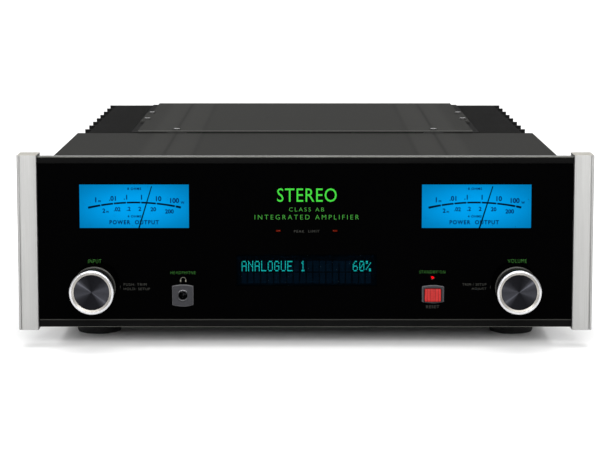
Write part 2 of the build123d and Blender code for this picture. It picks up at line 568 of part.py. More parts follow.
# ---- wiring: round wires with large bends, and the flat cable from the control board ------------------------------
# each route is a list of corner points, and the radius of its bends
ROUTES = [
    # speaker leads, from the relays on the driver boards to the studs
    ([(-114.0, YF + 412, 86.0), (-114.0, YF + 412, 50.0), (-114.0, YF + 435, 50.0)], 9.0),
    ([(-120.0, YF + 404, 86.0), (-120.0, YF + 404, 48.0), (-80.0, YF + 404, 48.0), (-80.0, YF + 435, 48.0)], 9.0),
    ([(114.0, YF + 412, 86.0), (114.0, YF + 412, 68.0), (4.0, YF + 412, 68.0), (4.0, YF + 412, 50.0), (4.0, YF + 435, 50.0)], 8.0),
    ([(120.0, YF + 404, 86.0), (120.0, YF + 404, 52.0), (-28.0, YF + 404, 52.0), (-28.0, YF + 435, 52.0)], 9.0),
    # mains leads, from the power supply board to the inlet
    ([(105.0, YF + 306.5, 27.0), (105.0, YF + 416, 27.0), (105.0, YF + 416, 43.0), (105.0, YF + 425, 43.0)], 4.0),
    ([(112.0, YF + 306.5, 27.0), (112.0, YF + 416, 27.0), (112.0, YF + 416, 47.0), (112.0, YF + 425, 47.0)], 4.0),
    ([(119.0, YF + 306.5, 27.0), (119.0, YF + 416, 27.0), (119.0, YF + 416, 43.0), (119.0, YF + 425, 43.0)], 4.0),
    # power leads, from the transformer to the rectifiers
    ([(-36.0, TX_Y + 30, 82.0), (-36.0, TX_Y + 30, 100.0), (-36.0, YF + 281, 100.0), (-36.0, YF + 281, 45.6)], 9.0),
    ([(-16.0, TX_Y + 30, 84.5), (-16.0, TX_Y + 30, 100.0), (-16.0, YF + 281, 100.0), (-16.0, YF + 281, 45.6)], 9.0),
]
with BuildPart() as wiring:
    for points, bend in ROUTES:
        with BuildLine() as route:
            FilletPolyline(*points, radius=bend)
        with BuildSketch(Plane(origin=route.line @ 0, z_dir=route.line % 0)):
            Circle(1.5)
        sweep(path=route.line)
    # flat cable from the control board over the transformer, through the slot, to the digital board
    block(62, 94, YF + 40.6, YF + 45.0, 60.0, 66.0)
    block(62, 94, YF + 44.0, YF + 45.0, 66.0, 101.0)
    block(62, 94, YF + 45.0, YF + 431.6, 100.0, 101.0)
    block(62, 94, YF + 430.6, YF + 431.6, 101.0, 104.0)
    block(62, 94, YF + 429.6, YF + 434.0, 99.0, 104.0)
save(wiring, "wiring")
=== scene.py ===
import bpy, bmesh, math
from mathutils import Vector, Matrix


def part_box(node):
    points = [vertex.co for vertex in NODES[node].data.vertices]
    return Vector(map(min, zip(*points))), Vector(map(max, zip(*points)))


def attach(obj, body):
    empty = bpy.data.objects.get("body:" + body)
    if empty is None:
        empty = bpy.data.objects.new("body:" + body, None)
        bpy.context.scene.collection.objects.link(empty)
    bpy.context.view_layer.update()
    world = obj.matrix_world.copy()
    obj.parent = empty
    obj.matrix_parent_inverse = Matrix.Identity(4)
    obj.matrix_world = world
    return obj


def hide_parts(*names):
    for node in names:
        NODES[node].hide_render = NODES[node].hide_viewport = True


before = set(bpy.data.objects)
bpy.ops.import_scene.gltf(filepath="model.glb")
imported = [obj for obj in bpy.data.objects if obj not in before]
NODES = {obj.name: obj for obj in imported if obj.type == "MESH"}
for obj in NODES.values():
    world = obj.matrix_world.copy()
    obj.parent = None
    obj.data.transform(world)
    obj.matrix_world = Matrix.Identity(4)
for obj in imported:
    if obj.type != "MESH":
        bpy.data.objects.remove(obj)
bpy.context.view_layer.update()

MM = 0.001


def nb(name):
    """Lowest and highest corner of a CAD node in millimetres."""
    lo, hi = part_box(name)
    return [v / MM for v in lo], [v / MM for v in hi]


# ------------------------------------------------------------------ reference dimensions (mm)
cap_lo, cap_hi = nb("end_cap_right")
YF = cap_lo[1]                                   # front plane of the end caps
HALF_W, CAP_IN = cap_hi[0], cap_lo[0]
CAP_Z0, CAP_Z1 = cap_lo[2], cap_hi[2]
g_lo, g_hi = nb("front_glass")
GY0, GY1, GZ0, GZ1 = g_lo[1], g_hi[1], g_lo[2], g_hi[2]
kn_lo, kn_hi = nb("volume_knob_ring")
KX = (kn_lo[0] + kn_hi[0]) / 2
KZ = (kn_lo[2] + kn_hi[2]) / 2
KR = (kn_hi[0] - kn_lo[0]) / 2
KY0 = kn_lo[1]
kb_lo, kb_hi = nb("volume_knob")
KY1 = kb_hi[1]
bt_lo, bt_hi = nb("standby_button")
jb_lo, jb_hi = nb("headphone_bezel")
JX, JZ = (jb_lo[0] + jb_hi[0]) / 2, (jb_lo[2] + jb_hi[2]) / 2
rp_lo, rp_hi = nb("rear_panel")
YR = rp_hi[1]                                    # outer face of the rear panel
STEP = nb("front_cover")[1][1]
ms_lo, ms_hi = nb("meter_scale_right")
MX = (ms_lo[0] + ms_hi[0]) / 2
SCALE_Y = ms_lo[1]
WIN = (84.8, 93.7, 128.0)                        # meter window: width, bottom, top
DISP = (-53.5, 55.5, 48.5, 73.3)                 # display window

# ------------------------------------------------------------------ camera
PX = 610.0
F_PX, TILT, SHIFT_X, SHIFT_Y = 2012.7, 0.1192, 0.0032, -0.099
cam_data = bpy.data.cameras.new("camera")
cam = bpy.data.objects.new("camera", cam_data)
bpy.context.scene.collection.objects.link(cam)
cam_data.sensor_width = 36.0
cam_data.lens = F_PX / PX * 36.0
cam_data.shift_x = SHIFT_X
cam_data.shift_y = SHIFT_Y
cam_data.clip_start, cam_data.clip_end = 0.05, 50.0
cam.location = (-1.8 * MM, -1769.7 * MM, 327.9 * MM)
cam.rotation_euler = (math.pi / 2 - TILT, 0, 0)
bpy.context.scene.camera = cam

# ------------------------------------------------------------------ materials
MATS = {}


def srgb(r, g, b):
    f = lambda c: c / 12.92 if c <= 0.04045 else ((c + 0.055) / 1.055) ** 2.4
    return (f(r / 255), f(g / 255), f(b / 255), 1.0)


def fill_ramp(node, stops, mode="LINEAR"):
    """Stops from left to right: position and colour."""
    node.color_ramp.interpolation = mode
    els = node.color_ramp.elements
    els[0].position, els[0].color = stops[0]
    els[-1].position, els[-1].color = stops[-1]
    for pos, col in stops[1:-1]:
        els.new(pos).color = col


def material(name, base, rough=0.5, metal=0.0, vary=0.12, scale=(40, 40, 40), detail=4.0, rough_vary=0.08,
             bump=0.0, bump_scale=None, ior=None, spec=None, coat=0.0, coat_rough=0.1, emit=None, emit_strength=0.0,
             transmission=0.0, aniso=0.0, spun=None, streaks=None, bands=None, rise=None, vignette=None, subsurface=0.0, seed=0.0, alpha=1.0):
    """Principled material whose colour, roughness and relief come from procedural noise.
    scale is noise cycles per metre along each row axis, so unequal values give brushing."""
    m = bpy.data.materials.new(name)
    m.use_nodes = True
    nt = m.node_tree
    bsdf = nt.nodes["Principled BSDF"]
    tc = nt.nodes.new("ShaderNodeTexCoord")
    mp = nt.nodes.new("ShaderNodeMapping")
    mp.inputs["Scale"].default_value = scale
    mp.inputs["Location"].default_value = (seed, seed * 0.7, seed * 1.3)
    nt.links.new(tc.outputs["Object"], mp.inputs["Vector"])
    vec = mp.outputs["Vector"]
    if spun is not None:
        # polar coordinates about an axis along Y: x = turns, y = radius
        sub = nt.nodes.new("ShaderNodeVectorMath"); sub.operation = "SUBTRACT"
        sub.inputs[1].default_value = (spun[0] * MM, 0, spun[1] * MM)
        nt.links.new(tc.outputs["Object"], sub.inputs[0])
        sep = nt.nodes.new("ShaderNodeSeparateXYZ"); nt.links.new(sub.outputs[0], sep.inputs[0])
        ln = nt.nodes.new("ShaderNodeVectorMath"); ln.operation = "LENGTH"
        cmb0 = nt.nodes.new("ShaderNodeCombineXYZ")
        nt.links.new(sep.outputs["X"], cmb0.inputs["X"]); nt.links.new(sep.outputs["Z"], cmb0.inputs["Y"])
        nt.links.new(cmb0.outputs[0], ln.inputs[0])
        at = nt.nodes.new("ShaderNodeMath"); at.operation = "ARCTAN2"
        nt.links.new(sep.outputs["Z"], at.inputs[0]); nt.links.new(sep.outputs["X"], at.inputs[1])
        cmb = nt.nodes.new("ShaderNodeCombineXYZ")
        nt.links.new(at.outputs[0], cmb.inputs["X"]); nt.links.new(ln.outputs["Value"], cmb.inputs["Y"])
        nt.links.new(cmb.outputs[0], mp.inputs["Vector"])
        polar_angle, polar_radius = at.outputs[0], ln.outputs["Value"]
    noise = nt.nodes.new("ShaderNodeTexNoise")
    noise.inputs["Scale"].default_value = 1.0
    noise.inputs["Detail"].default_value = detail
    noise.inputs["Roughness"].default_value = 0.6
    nt.links.new(vec, noise.inputs["Vector"])
    ramp = nt.nodes.new("ShaderNodeValToRGB")
    ramp.color_ramp.elements[0].position = 0.3
    ramp.color_ramp.elements[1].position = 0.7
    lo = tuple(max(0.0, c * (1 - vary)) for c in base[:3]) + (1.0,)
    hi = tuple(min(1.0, c * (1 + vary)) for c in base[:3]) + (1.0,)
    ramp.color_ramp.elements[0].color = lo
    ramp.color_ramp.elements[1].color = hi
    nt.links.new(noise.outputs["Fac"], ramp.inputs["Fac"])
    body_out = ramp.outputs["Color"]
    if streaks:
        # painted highlights: brightness that changes round the axis, standing in for the glints that light makes on
        # turned metal
        turn = nt.nodes.new("ShaderNodeMapRange")
        turn.inputs["From Min"].default_value = -math.pi
        turn.inputs["From Max"].default_value = math.pi
        nt.links.new(polar_angle, turn.inputs["Value"])
        painted_highlight_ramp = nt.nodes.new("ShaderNodeValToRGB")
        fill_ramp(painted_highlight_ramp, [((deg + 180.0) / 360.0, (val, val, val * 1.04, 1.0)) for deg, val in streaks])
        nt.links.new(turn.outputs["Result"], painted_highlight_ramp.inputs["Fac"])
        mul = nt.nodes.new("ShaderNodeMixRGB")
        mul.blend_type = "MULTIPLY"
        mul.inputs["Fac"].default_value = 1.0
        nt.links.new(ramp.outputs["Color"], mul.inputs["Color1"])
        nt.links.new(painted_highlight_ramp.outputs["Color"], mul.inputs["Color2"])
        nt.links.new(mul.outputs["Color"], bsdf.inputs["Base Color"])
    elif rise:
        # painted highlight: lighter towards the top edge, standing in for the light the fin tops catch; lower down it
        # is darker as painted shade
        sx = nt.nodes.new("ShaderNodeSeparateXYZ")
        nt.links.new(tc.outputs["Object"], sx.inputs["Vector"])
        mr = nt.nodes.new("ShaderNodeMapRange")
        mr.inputs["From Min"].default_value = rise[0] * MM
        mr.inputs["From Max"].default_value = rise[1] * MM
        mr.inputs["To Min"].default_value = rise[2]
        mr.inputs["To Max"].default_value = 1.0
        nt.links.new(sx.outputs["Z"], mr.inputs["Value"])
        mul = nt.nodes.new("ShaderNodeMixRGB")
        mul.blend_type = "MULTIPLY"
        mul.inputs["Fac"].default_value = 1.0
        nt.links.new(ramp.outputs["Color"], mul.inputs["Color1"])
        nt.links.new(mr.outputs["Result"], mul.inputs["Color2"])
        nt.links.new(mul.outputs["Color"], bsdf.inputs["Base Color"])
        body_out = mul.outputs["Color"]
    if bands:
        # painted light: slightly lighter and darker stripes that run front to back, the same on both sides; they stand
        # in for reflections, shade and highlights
        sx = nt.nodes.new("ShaderNodeSeparateXYZ")
        nt.links.new(tc.outputs["Object"], sx.inputs["Vector"])
        ab = nt.nodes.new("ShaderNodeMath"); ab.operation = "ABSOLUTE"
        nt.links.new(sx.outputs["X"], ab.inputs[0])
        mr = nt.nodes.new("ShaderNodeMapRange")
        mr.inputs["From Max"].default_value = 0.2
        nt.links.new(ab.outputs[0], mr.inputs["Value"])
        painted_band_ramp = nt.nodes.new("ShaderNodeValToRGB")
        fill_ramp(painted_band_ramp, [(x / 200.0, (v, v, v * 0.985, 1.0)) for x, v in bands])
        nt.links.new(mr.outputs["Result"], painted_band_ramp.inputs["Fac"])
        mul = nt.nodes.new("ShaderNodeMixRGB")
        mul.blend_type = "MULTIPLY"
        mul.inputs["Fac"].default_value = 1.0
        nt.links.new(body_out, mul.inputs["Color1"])
        nt.links.new(painted_band_ramp.outputs["Color"], mul.inputs["Color2"])
        nt.links.new(mul.outputs["Color"], bsdf.inputs["Base Color"])
    elif not streaks and not rise:
        nt.links.new(ramp.outputs["Color"], bsdf.inputs["Base Color"])
    if alpha < 1.0:
        bsdf.inputs["Alpha"].default_value = alpha
    rr = nt.nodes.new("ShaderNodeMapRange")
    rr.inputs["From Min"].default_value = 0.3
    rr.inputs["From Max"].default_value = 0.7
    rr.inputs["To Min"].default_value = max(0.0, rough - rough_vary)
    rr.inputs["To Max"].default_value = min(1.0, rough + rough_vary)
    nt.links.new(noise.outputs["Fac"], rr.inputs["Value"])
    nt.links.new(rr.outputs["Result"], bsdf.inputs["Roughness"])
    bsdf.inputs["Metallic"].default_value = metal
    if ior is not None:
        bsdf.inputs["IOR"].default_value = ior
    if spec is not None:
        bsdf.inputs["Specular IOR Level"].default_value = spec
    if coat:
        bsdf.inputs["Coat Weight"].default_value = coat
        bsdf.inputs["Coat Roughness"].default_value = coat_rough
    if transmission:
        bsdf.inputs["Transmission Weight"].default_value = transmission
    if subsurface:
        bsdf.inputs["Subsurface Weight"].default_value = subsurface
        bsdf.inputs["Subsurface Scale"].default_value = 0.002
    if aniso:
        bsdf.inputs["Anisotropic"].default_value = aniso
        tg = nt.nodes.new("ShaderNodeTangent")
        tg.direction_type = "RADIAL"
        tg.axis = "Y" if spun is not None else "Z"
        nt.links.new(tg.outputs["Tangent"], bsdf.inputs["Tangent"])
    height = None
    if bump:
        n2 = nt.nodes.new("ShaderNodeTexNoise")
        mp2 = nt.nodes.new("ShaderNodeMapping")
        mp2.inputs["Scale"].default_value = bump_scale or scale
        nt.links.new(tc.outputs["Object"] if spun is None else cmb.outputs[0], mp2.inputs["Vector"])
        nt.links.new(mp2.outputs["Vector"], n2.inputs["Vector"])
        n2.inputs["Scale"].default_value = 1.0
        n2.inputs["Detail"].default_value = 3.0
        bp = nt.nodes.new("ShaderNodeBump")
        bp.inputs["Strength"].default_value = 1.0
        bp.inputs["Distance"].default_value = bump * MM
        nt.links.new(n2.outputs["Fac"], bp.inputs["Height"])
        nt.links.new(bp.outputs["Normal"], bsdf.inputs["Normal"])
    if emit is not None:
        if vignette:
            # brighter in the middle of the window, darker towards its rim: (centre x, centre z, half width, half height, rim share)
            cx, cz, hw, hh, rim = vignette
            sb = nt.nodes.new("ShaderNodeVectorMath"); sb.operation = "SUBTRACT"
            sb.inputs[1].default_value = (cx * MM, 0, cz * MM)
            nt.links.new(tc.outputs["Object"], sb.inputs[0])
            dv = nt.nodes.new("ShaderNodeVectorMath"); dv.operation = "MULTIPLY"
            dv.inputs[1].default_value = (1 / (hw * MM), 0.0, 1 / (hh * MM))
            nt.links.new(sb.outputs[0], dv.inputs[0])
            le = nt.nodes.new("ShaderNodeVectorMath"); le.operation = "LENGTH"
            nt.links.new(dv.outputs[0], le.inputs[0])
            er = nt.nodes.new("ShaderNodeValToRGB")
            er.color_ramp.interpolation = "EASE"
            er.color_ramp.elements[0].position = 0.15
            er.color_ramp.elements[0].color = emit
            er.color_ramp.elements[1].position = 1.0
            er.color_ramp.elements[1].color = tuple(c * rim for c in emit[:3]) + (1.0,)
            half = nt.nodes.new("ShaderNodeMath"); half.operation = "MULTIPLY"
            half.inputs[1].default_value = 0.7
            nt.links.new(le.outputs["Value"], half.inputs[0])
            nt.links.new(half.outputs[0], er.inputs["Fac"])
            nt.links.new(er.outputs["Color"], bsdf.inputs["Emission Color"])
        else:
            bsdf.inputs["Emission Color"].default_value = emit
        bsdf.inputs["Emission Strength"].default_value = emit_strength
    MATS[name] = m
    return m


M = material
silver = M("mat_end_cap", (0.305, 0.304, 0.298), rough=0.46, metal=1.0, vary=0.10, scale=(2600, 2600, 18), rough_vary=0.07, bump=0.010, bump_scale=(5200, 5200, 30))
# end cap tops: the brushing along the depth is real; the warm tint is a painted reflection
silver_top_painted_reflection = M("mat_end_cap_top_painted_reflection", (0.300, 0.282, 0.240), rough=0.46, metal=1.0, vary=0.10, scale=(2600, 18, 2600), rough_vary=0.07, bump=0.010, bump_scale=(5200, 30, 5200))
# painted reflection: the trim's top faces get a reflective olive-tinted metal while its front faces stay near-black
trim_top_painted_reflection = M("mat_trim_top_painted_reflection", (0.042, 0.043, 0.033), rough=0.42, metal=1.0, vary=0.10, scale=(30, 3000, 3000), bump=0.006, bump_scale=(40, 5200, 5200))
# painted highlights: lighter copies of the black trim for its upper edge and lower lip, where they catch light
trim_lip_highlight = M("mat_trim_lip_highlight", (0.13, 0.13, 0.115), rough=0.4, vary=0.12, scale=(30, 3000, 3000), bump=0.004, ior=1.2)
trim_dark = M("mat_trim_dark", (0.0034, 0.0034, 0.0034), rough=0.35, vary=0.2, scale=(30, 3000, 3000), bump=0.004, ior=1.05)
trim_edge_highlight = M("mat_trim_edge_highlight", (0.022, 0.022, 0.020), rough=0.4, vary=0.12, scale=(30, 3000, 3000), bump=0.004, ior=1.12)
glass_black = M("mat_glass_black", (0.0002, 0.0002, 0.00025), rough=0.03, vary=0.3, scale=(9, 9, 9), rough_vary=0.015, ior=1.04)
glass_clear = M("mat_glass_clear", (0.0006, 0.0008, 0.0010), rough=0.03, vary=0.3, scale=(9, 9, 9), rough_vary=0.015, ior=1.04, alpha=0.05)
zinc = M("mat_zinc", (0.45, 0.46, 0.46), rough=0.38, metal=1.0, vary=0.12, scale=(260, 260, 260), bump=0.008)
# painted reflections: the cover's bands are lighter and darker stripes standing in for reflections of the lights in the
# satin paint
case = M("mat_case", (0.0260, 0.0260, 0.0250), rough=0.6, vary=0.08, scale=(900, 900, 900), rough_vary=0.06, bump=0.030, bump_scale=(1800, 1800, 1800), ior=1.025,
         bands=[(0, 0.98), (84, 0.99), (87.5, 0.86), (90, 1.13), (104, 1.17), (108.5, 1.10), (110.5, 0.74), (113, 1.14), (126, 1.18), (132, 0.98), (200, 0.98)])
# painted shade: near-black material for the strip that stands in for the shade in the gap behind the top trim
gap_shade_mat = M("mat_gap_shade", (0.010, 0.010, 0.009), rough=0.9, vary=0.25, scale=(900, 900, 900), bump=0.03, bump_scale=(1500, 1500, 1500), ior=1.02)
# painted highlight: a lighter copy of the cover paint for the rear cover's front edge
case_lip_highlight = M("mat_case_lip_highlight", (0.056, 0.056, 0.053), rough=0.5, vary=0.2, scale=(900, 900, 900), bump=0.01, ior=1.1)
panel = M("mat_panel", (0.018, 0.018, 0.018), rough=0.5, vary=0.12, scale=(900, 900, 900), bump=0.025, bump_scale=(1800, 1800, 1800), spec=0.2)
SINK_TOP = nb("heatsink_left")[1][2]
# painted highlight on the fin tops (lighter at the top edge) and painted shade on the strip of the heatsink next to the
# cover edge, below 150 mm from the middle
sink_mat = M("mat_heatsink", (0.0170, 0.0170, 0.0171), rough=0.5, vary=0.2, scale=(600, 600, 40), bump=0.010, bump_scale=(1500, 1500, 60), ior=1.02, rise=(SINK_TOP - 0.45, SINK_TOP - 0.05, 0.42),
             bands=[(0, 0.35), (150.0, 0.35), (150.6, 1.0), (200, 1.0)])
foot_mat = M("mat_foot", (0.013, 0.013, 0.0135), rough=0.7, vary=0.2, scale=(700, 700, 700), bump=0.03, bump_scale=(1500, 1500, 1500), spec=0.2)
plastic_black = M("mat_moulded_black", (0.012, 0.012, 0.012), rough=0.5, vary=0.2, scale=(700, 700, 700), bump=0.012, bump_scale=(2400, 2400, 2400), spec=0.4)
plastic_white = M("mat_moulded_white", (0.55, 0.55, 0.53), rough=0.5, vary=0.05, scale=(500, 500, 500), bump=0.01)
bezel_mat = M("mat_bezel", (0.018, 0.018, 0.021), rough=0.42, vary=0.16, scale=(900, 900, 900), bump=0.012, bump_scale=(3000, 3000, 3000), spec=0.15)
# painted highlight: a lighter copy of the bezel material for the bezels' outer walls and front chamfers
bezel_edge_highlight = M("mat_bezel_edge_highlight", (0.062, 0.062, 0.066), rough=0.35, vary=0.14, scale=(900, 900, 900), bump=0.004, spec=0.3)
# painted shade and highlight on the button: dark stripes stand in for shade in the grooves, lighter stripes for light
# on their edges and on the rims
RIB_PAINTED_SHADE_AND_HIGHLIGHT = [(0, 1.0), (93.1, 1.25)]
for k in range(5):
    RIB_PAINTED_SHADE_AND_HIGHLIGHT += [(94.35 + 2.07 * k - 0.1, 1.15), (94.35 + 2.07 * k + 0.15, 0.55), (94.35 + 2.07 * k + 0.6, 0.55), (94.35 + 2.07 * k + 0.85, 1.15)]
RIB_PAINTED_SHADE_AND_HIGHLIGHT += [(104.6, 1.25), (200, 1.0)]
# painted light: the red button glows faintly, though it holds no lamp
button_mat = M("mat_button", srgb(134, 32, 31), rough=0.4, vary=0.16, scale=(500, 500, 160), bump=0.01, bump_scale=(1800, 1800, 1800), spec=0.08, bands=RIB_PAINTED_SHADE_AND_HIGHLIGHT,
               emit=srgb(110, 10, 12), emit_strength=0.25)
# painted highlights on the bright knob rings: lighter and darker sectors round the axis stand in for reflections
RING_PAINTED_HIGHLIGHTS = [(-180, 0.95), (-130, 0.92), (-95, 1.0), (-50, 0.94), (0, 0.95), (35, 0.74), (60, 0.66), (95, 0.95), (120, 0.72), (145, 0.80), (180, 0.95)]
ring_l = M("mat_knob_ring_input", (0.62, 0.62, 0.61), rough=0.20, metal=1.0, vary=0.05, scale=(3, 9000, 1), rough_vary=0.05, bump=0.004, bump_scale=(3, 16000, 1), spun=(-KX, KZ), streaks=RING_PAINTED_HIGHLIGHTS)
ring_r = M("mat_knob_ring_volume", (0.62, 0.62, 0.61), rough=0.20, metal=1.0, vary=0.05, scale=(3, 9000, 1), rough_vary=0.05, bump=0.004, bump_scale=(3, 16000, 1), spun=(KX, KZ), streaks=RING_PAINTED_HIGHLIGHTS)
band_l = M("mat_knob_band_input", (0.44, 0.42, 0.375), rough=0.28, metal=1.0, vary=0.06, scale=(3, 9000, 1), rough_vary=0.05, bump=0.004, bump_scale=(3, 16000, 1), spun=(-KX, KZ), streaks=RING_PAINTED_HIGHLIGHTS)
band_r = M("mat_knob_band_volume", (0.44, 0.42, 0.375), rough=0.28, metal=1.0, vary=0.06, scale=(3, 9000, 1), rough_vary=0.05, bump=0.004, bump_scale=(3, 16000, 1), spun=(KX, KZ), streaks=RING_PAINTED_HIGHLIGHTS)
# painted highlights on the spun knob faces: bright wedges round the axis stand in for glints of light; the volume knob
# gets the mirrored pattern
FACE_PAINTED_HIGHLIGHTS = [(-180, 0.50), (-165, 0.66), (-150, 0.34), (-120, 0.16), (-62, 0.18), (-46, 0.55), (-37, 1.25), (-30, 0.66), (-8, 0.50), (16, 0.66), (27, 0.40), (50, 0.18), (100, 0.13), (128, 0.24), (138, 0.60), (145, 1.5), (152, 0.60), (168, 0.42), (180, 0.50)]
MIRROR_FACE_PAINTED_HIGHLIGHTS = sorted(((180.0 - a if a >= 0 else -180.0 - a), v) for a, v in FACE_PAINTED_HIGHLIGHTS if -180 < a < 180)
MIRROR_FACE_PAINTED_HIGHLIGHTS = [(-180, 0.47)] + MIRROR_FACE_PAINTED_HIGHLIGHTS + [(180, 0.47)]
face_l = M("mat_knob_face_input", (0.050, 0.051, 0.058), rough=0.30, metal=1.0, vary=0.10, scale=(2, 7000, 1), rough_vary=0.05, bump=0.006, bump_scale=(2, 9000, 1), spun=(-KX, KZ), aniso=0.6, streaks=FACE_PAINTED_HIGHLIGHTS)
face_r = M("mat_knob_face_volume", (0.050, 0.051, 0.058), rough=0.30, metal=1.0, vary=0.10, scale=(2, 7000, 1), rough_vary=0.05, bump=0.006, bump_scale=(2, 9000, 1), spun=(KX, KZ), aniso=0.6, streaks=MIRROR_FACE_PAINTED_HIGHLIGHTS)
grip_mat = M("mat_knob_grip", (0.011, 0.011, 0.0098), rough=0.35, vary=0.15, scale=(600, 600, 600), bump=0.005, spec=0.25)
rim_mat = M("mat_knob_rim", (0.075, 0.075, 0.066), rough=0.3, metal=1.0, vary=0.15, scale=(600, 600, 600), bump=0.003)
blue_l = M("mat_meter_left", (0.0, 0.012, 0.03), rough=0.6, vary=0.1, scale=(200, 200, 200), spec=0.0, emit=srgb(0, 164, 243), emit_strength=1.0, vignette=(-MX, 109.0, 43, 18, 0.56))
blue_r = M("mat_meter_right", (0.0, 0.012, 0.03), rough=0.6, vary=0.1, scale=(200, 200, 200), spec=0.0, emit=srgb(0, 164, 243), emit_strength=1.0, vignette=(MX, 109.0, 43, 18, 0.56))
ink = M("mat_meter_ink", srgb(4, 8, 40), rough=0.7, vary=0.15, scale=(900, 900, 900), spec=0.0, emit=srgb(0, 20, 78), emit_strength=1.0)
ink_bold = M("mat_meter_ink_arc", srgb(2, 4, 16), rough=0.7, vary=0.15, scale=(900, 900, 900), spec=0.0, emit=srgb(0, 8, 34), emit_strength=1.0)
needle_mat = M("mat_needle", (0.0004, 0.0009, 0.0032), rough=0.6, vary=0.2, scale=(600, 600, 600), bump=0.002, spec=0.0)
tube = M("mat_display_tube", (0.0002, 0.0009, 0.0018), rough=0.3, vary=0.2, scale=(120, 120, 120), spec=0.0)
# painted light: the unlit display cells glow faintly, standing in for the light that falls on them
cell_mat = M("mat_display_cell", (0.0004, 0.0018, 0.0035), rough=0.4, vary=0.2, scale=(900, 900, 900), spec=0.0, emit=srgb(2, 13, 25), emit_strength=0.8)
dot_mat = M("mat_display_dot", (0.004, 0.06, 0.06), rough=0.4, vary=0.1, scale=(900, 900, 900), spec=0.0, emit=srgb(18, 186, 182), emit_strength=1.2)
green = M("mat_legend_green", (0.004, 0.04, 0.005), rough=0.5, vary=0.1, scale=(900, 900, 900), spec=0.1, emit=srgb(58, 205, 50), emit_strength=1.0)
green_dim = M("mat_legend_green_dim", (0.004, 0.03, 0.004), rough=0.5, vary=0.1, scale=(900, 900, 900), spec=0.1, emit=srgb(70, 168, 58), emit_strength=0.85)
green_small = M("mat_legend_green_small", (0.004, 0.03, 0.004), rough=0.5, vary=0.1, scale=(900, 900, 900), spec=0.1, emit=srgb(84, 156, 70), emit_strength=0.85)
grey_ink = M("mat_legend_grey", (0.024, 0.024, 0.021), rough=0.6, vary=0.1, scale=(900, 900, 900), spec=0.1)
icon_ink = M("mat_legend_icon", (0.15, 0.145, 0.12), rough=0.6, vary=0.1, scale=(900, 900, 900), spec=0.1)
white_ink = M("mat_legend_white", (0.42, 0.42, 0.41), rough=0.6, vary=0.08, scale=(900, 900, 900))
lamp_on = M("mat_lamp_on", srgb(160, 6, 6), rough=0.3, vary=0.1, scale=(600, 600, 600), spec=0.1, emit=srgb(255, 10, 26), emit_strength=1.2)
lamp_peak = M("mat_lamp_peak", srgb(50, 8, 2), rough=0.4, vary=0.1, scale=(600, 600, 600), spec=0.05, emit=srgb(112, 24, 6), emit_strength=0.8)
gold = M("mat_gold", (0.83, 0.60, 0.24), rough=0.24, metal=1.0, vary=0.08, scale=(400, 400, 400), bump=0.003)
red_plastic = M("mat_post_red", (0.34, 0.010, 0.010), rough=0.32, vary=0.12, scale=(400, 400, 400), bump=0.006, spec=0.5)
insul_red = M("mat_insulator_red", (0.40, 0.015, 0.012), rough=0.4, vary=0.1, scale=(500, 500, 500))
insul_white = M("mat_insulator_white", (0.62, 0.62, 0.60), rough=0.4, vary=0.06, scale=(500, 500, 500))
screw_mat = M("mat_screw", (0.11, 0.11, 0.11), rough=0.32, metal=1.0, vary=0.12, scale=(900, 900, 900), bump=0.004)
pcb = M("mat_circuit", (0.012, 0.085, 0.035), rough=0.38, vary=0.25, scale=(160, 160, 160), bump=0.02, bump_scale=(500, 500, 500), spec=0.5)
wound = M("mat_transformer", (0.05, 0.035, 0.02), rough=0.45, vary=0.25, scale=(60, 60, 1500), bump=0.05, bump_scale=(60, 60, 1500))
sleeve = M("mat_capacitor", (0.012, 0.02, 0.06), rough=0.3, vary=0.15, scale=(90, 90, 20), coat=0.4)
wire_mat = M("mat_wire", (0.22, 0.015, 0.012), rough=0.4, vary=0.12, scale=(200, 200, 200))
pin_mat = M("mat_pin", (0.60, 0.60, 0.58), rough=0.25, metal=1.0, vary=0.06, scale=(500, 500, 500))
nose_mat = M("mat_jack_nose", (0.085, 0.085, 0.09), rough=0.25, metal=1.0, vary=0.1, scale=(600, 600, 600), bump=0.003)
floor_mat = M("mat_floor", (0.90, 0.90, 0.90), rough=0.6, vary=0.008, scale=(3, 3, 3), spec=0.0)

# ------------------------------------------------------------------ mesh helpers
def link(name, me, mats, body, replaces=(), angle=35.0):
    ob = bpy.data.objects.new(name, me)
    bpy.context.scene.collection.objects.link(ob)
    for m in mats:
        me.materials.append(m)
    for p in me.polygons:
        p.use_smooth = True
    me.set_sharp_from_angle(angle=math.radians(angle))
    if body is not None:
        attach(ob, body)
        if replaces:
            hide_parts(*replaces)
    return ob


def from_bm(name, bm, mats, body, replaces=(), angle=35.0, bevel=0.0, segments=2, bevel_angle=40.0):
    bmesh.ops.remove_doubles(bm, verts=bm.verts, dist=1e-7)
    bmesh.ops.recalc_face_normals(bm, faces=bm.faces)
    me = bpy.data.meshes.new(name)
    bm.to_mesh(me)
    bm.free()
    ob = link(name, me, mats, body, replaces, angle)
    if bevel:
        md = ob.modifiers.new("edge", "BEVEL")
        md.width = bevel * MM
        md.segments = segments
        md.limit_method = "ANGLE"
        md.angle_limit = math.radians(bevel_angle)
        md.harden_normals = False
    return ob


def add_box(bm, x0, x1, y0, y1, z0, z1, mat=0):
    vs = [bm.verts.new((x * MM, y * MM, z * MM)) for x in (x0, x1) for y in (y0, y1) for z in (z0, z1)]
    for f in ((0, 1, 3, 2), (4, 6, 7, 5), (0, 4, 5, 1), (2, 3, 7, 6), (0, 2, 6, 4), (1, 5, 7, 3)):
        face = bm.faces.new([vs[i] for i in f])
        face.material_index = mat


